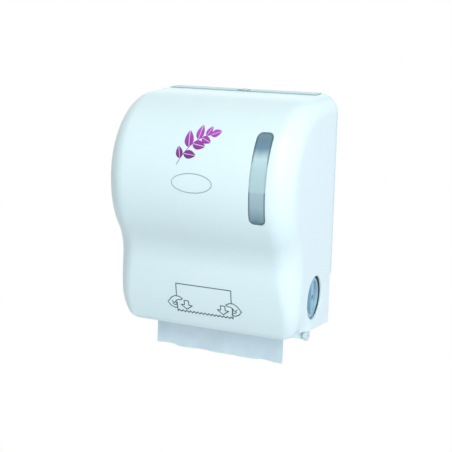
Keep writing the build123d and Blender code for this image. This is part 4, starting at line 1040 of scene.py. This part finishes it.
def softened(node, width):
    """A copy of a node whose sharp edges are rounded by a width in millimetres."""
    work = bmesh.new()
    work.from_mesh(frame["nodes"][node].data)
    bmesh.ops.remove_doubles(work, verts=work.verts, dist=2e-6)
    bmesh.ops.dissolve_degenerate(work, edges=work.edges, dist=2e-6)
    bmesh.ops.dissolve_limit(work, angle_limit=math.radians(0.6), verts=work.verts, edges=work.edges)
    sharp = [e for e in work.edges if len(e.link_faces) == 2 and e.calc_face_angle(0) > math.radians(38)]
    bmesh.ops.bevel(work, geom=sharp, offset=width * 0.001, segments=2, affect="EDGES", profile=0.5,
                    clamp_overlap=True, miter_outer="ARC")
    obj = added(f"{node}_soft", mesh_from(work, f"{node}_soft", 30))
    obj.modifiers.new("weigh", "WEIGHTED_NORMAL").keep_sharp = True
    return obj


soft_widths = {
    0.2: ["hub_clip_left", "hub_clip_right"],
    0.25: ["lock_plug", "lock_cam", "knife_bar"],
    0.3: ["paper_guide", "hinge_pin_left", "hinge_pin_right", "grip_bands", "shaft_bush_left", "shaft_bush_right",
          "tie_bars", "crank_pin", "anchor_pin", "pawl_pin"],
    0.35: ["lock_barrel"],
    0.4: ["strike_hook", "side_frame_left", "side_frame_right", "roll_hub_left", "roll_hub_right", "pinch_carrier",
          "crank_disc", "stop_pawl", "drum_shell_upper", "drum_shell_lower", "drum_shaft"],
    0.5: ["gear_cover", "roll_arm_left", "roll_arm_right"],
    0.6: ["rear_housing", "pinch_rollers"],
}
soft_pieces = {node: softened(node, width) for width, members in soft_widths.items() for node in members}
bpy.context.view_layer.update()
view_of_all = bpy.context.evaluated_depsgraph_get()
for node, obj in soft_pieces.items():
    obj.data = bpy.data.meshes.new_from_object(obj.evaluated_get(view_of_all))
    obj.modifiers.clear()
    dress(obj, node_bodies[node], node_slots[node], node)

# %% [markdown]
# The knob on the right side feeds paper by hand. It is a cup with a dished face and a bar across it to turn it by.
# The cup is a turned profile whose rim is rolled over, and the bar is a plate with the screw's hole in it.

# %% The feed knob
knob_face, grip_half, grip_length, grip_corner = 142.7, 6.5, 25.4, 2.0
knob_profile = [(knob_face - depth, radius) for depth, radius in (
    (7.0, 0.0), (7.0, 21.5), (6.6, 23.4), (5.2, 24.8), (1.2, 25.3), (0.3, 25.8), (0.0, 26.8), (0.0, 29.4),
    (0.5, 30.8), (1.8, 31.5), (15.0, 31.5), (15.0, 28.5), (10.0, 28.5), (10.0, 11.0), (15.0, 11.0), (15.0, 6.0),
    (10.0, 6.0), (10.0, 0.0))]
knob_cup = turned("knob_cup", knob_profile, drum_axis, 128, closed=False)
dress(knob_cup, "drum", "knob_plastic", "feed_knob")
grip_loop = rounded_box(drum_axis, (grip_half, grip_length), grip_corner, 6)
grip_bar = plate("knob_grip_bar", grip_loop, [(*drum_axis, 4.1)], knob_face - 7.2, knob_face - 0.1, bevel=1.3)
dress(grip_bar, "drum", "knob_plastic")

# %% [markdown]
# Each screw is a domed head with a cross recess. A flat pattern with a circle and a cross gives the head, whose
# height follows a rule, and the recess goes straight down inside it. The copy tree sets one pattern at every place.

# %% Cross-head screws
def screw_pattern(name, radius, height, shank):
    """A screw with its seat at 0 and its head upwards, in millimetres."""
    ring = circle((0, 0), radius, 32)
    wide, thick = radius * 0.56, radius * 0.15
    cross = [(wide, -thick), (wide, thick), (thick, thick), (thick, wide), (-thick, wide), (-thick, thick),
             (-wide, thick), (-wide, -thick), (-thick, -thick), (-thick, -wide), (thick, -wide), (thick, -thick)]
    middle = [(0.78 * x, 0.78 * y) for x, y in ring]
    flat, faces = fill_pattern([ring, middle, cross])
    work = bmesh.new()
    dome = height * (1 - 0.42 * (np.hypot(*flat.T) / radius) ** 2.5)
    upper = [work.verts.new((x, y, z)) for (x, y), z in zip(flat, dome)]
    floor_points = {}
    for face in faces:
        small, large = sorted(abs(flat[face].mean(axis=0)))
        in_cross = small < thick and large < wide
        for k in face:
            if in_cross and k not in floor_points:
                floor_points[k] = work.verts.new((*flat[k] * 0.8, height * 0.3))
        work.faces.new([(floor_points if in_cross else upper)[k] for k in face])
    start = len(ring) + len(middle)
    for k in range(len(cross)):
        a, b = start + k, start + (k + 1) % len(cross)
        work.faces.new((upper[a], upper[b], floor_points[b], floor_points[a]))
    rings = [upper[:len(ring)]] + [[work.verts.new((x * s, y * s, z)) for x, y in ring]
                                   for s, z in ((1, 0), (shank / radius, 0), (shank / radius, -3.0))]
    for high, low in zip(rings, rings[1:]):
        for k in range(len(ring)):
            after = (k + 1) % len(ring)
            work.faces.new((high[k], low[k], low[after], high[after]))
    work.faces.new(rings[-1])
    bmesh.ops.recalc_face_normals(work, faces=work.faces)
    return bpy.data.objects.new(name, mesh_from(work, name))


def screws(name, pattern, places, body, rule, *nodes):
    """Copies of a screw, laid by a rule, which stand for a node."""
    obj = copies(name, places, np.linspace(0.3, 2.1, len(places)), np.ones(len(places)), pattern, "steel")
    moved(obj, rule).data.set_sharp_from_angle(angle=math.radians(35))
    return dress(obj, body, "steel", *nodes)


foot_places = [(x, h, 0) for x in (-125, 125) for h in (28, 122)]
frame_face, cam_y, cam_underside, knob_seat = -6, -15, 341.1, knob_face - 4.6
screws("frame_screw_heads", screw_pattern("foot_screw", 4.5, 2.4, 2.0), foot_places, "root",
       lambda p: np.column_stack([p[:, 0], frame_face - p[:, 2], p[:, 1]]), "frame_screws")
screws("cam_screw_head", screw_pattern("cam_pattern", 4.5, 3.0, 2.0), [(0, 0, 0)], node_bodies["cam_screw"],
       lambda p: np.column_stack([p[:, 0], cam_y - p[:, 1], cam_underside - p[:, 2]]), "cam_screw")
screws("knob_screw_head", screw_pattern("knob_pattern", 3.9, 2.2, 2.0), [(0, 0, 0)], "drum",
       lambda p: np.column_stack([knob_seat + p[:, 2], drum_axis[0] + p[:, 0], drum_axis[1] + p[:, 1]]),
       "knob_screw")

# %% [markdown]
# Two kinds of spring are in here. The long one pulls the crank round after each stroke, so the next length of paper
# comes out, and it has a hook at each end. Two short torsion coils press the pinch rollers down. A coil is a helix,
# which is easy to write down as a path, and the tube tree gives it its wire.

# %% Springs
def wire(name, path, radius):
    """A wire piece along a path of (x, y, height)."""
    mesh = mesh_of(name, [tuple(map(float, p)) for p in path], [(k, k + 1) for k in range(len(path) - 1)])
    return moved(grown(name, mesh, tube_tree, Radius=radius, Step=0.45, Sides=8, Finish=finishes["steel"]),
                 lambda points: points)


crank_radius, crank_turn, crank_x = 18, math.radians(210), -129.0
crank_pin = np.array((crank_x, drum_axis[0] + crank_radius * math.cos(crank_turn),
                      drum_axis[1] + crank_radius * math.sin(crank_turn)))
anchor = np.array((crank_x, -22.0, 40.0))
spring_span = float(np.linalg.norm(anchor - crank_pin))
coil_turns, coil_radius, hook_radius, coil_start = 44, 2.95, 3.6, 5.6
way = (anchor - crank_pin) / spring_span
aside = np.array((1.0, 0.0, 0.0))
square = np.cross(way, aside)


def hook(centre, forward, start, end):
    """An open hook round a pin, from one direction to another, in degrees."""
    return [centre + (forward * math.cos(t) + square * math.sin(t)) * hook_radius
            for t in np.radians(np.linspace(start, end, 24))]


turns = np.linspace(0, full_turn * coil_turns, coil_turns * 14 + 1)
run_along = coil_start + (spring_span - 2 * coil_start) * turns / turns[-1]
coil = [crank_pin + way * a + (aside * math.cos(t) + square * math.sin(t)) * coil_radius
        for a, t in zip(run_along, turns)]
spring = wire("assist_spring_wire", hook(crank_pin, -way, -120, 165) + coil + hook(anchor, way, 165, -120), 0.5)
tuple(to_frame(anchor)[0])
tuple(to_frame(crank_pin)[0])
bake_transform(spring)
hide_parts("assist_spring")
print(spring.name, len(spring.data.polygons), "faces, bent between the case and the drum")

carrier_pivot, torsion_radius = (-40.0, 128.0), 6.75
for side, sign, nodes in (("left", -1, ["carrier_springs"]), ("right", 1, [])):
    torsion_path = [(sign * x, carrier_pivot[0] + torsion_radius * math.cos(t),
                     carrier_pivot[1] + torsion_radius * math.sin(t))
                    for x, t in zip(np.linspace(93.6, 107.8, 220), np.linspace(quarter, full_turn * 8.9, 220))]
    dress(wire(f"carrier_spring_{side}", torsion_path, 0.75), node_bodies["carrier_springs"], "steel", *nodes)

# %% Finishes on the frame's own nodes
for node, obj in frame["nodes"].items():
    for slot in obj.material_slots:
        slot.link = "OBJECT"
        slot.material = finishes[node_slots[node]]
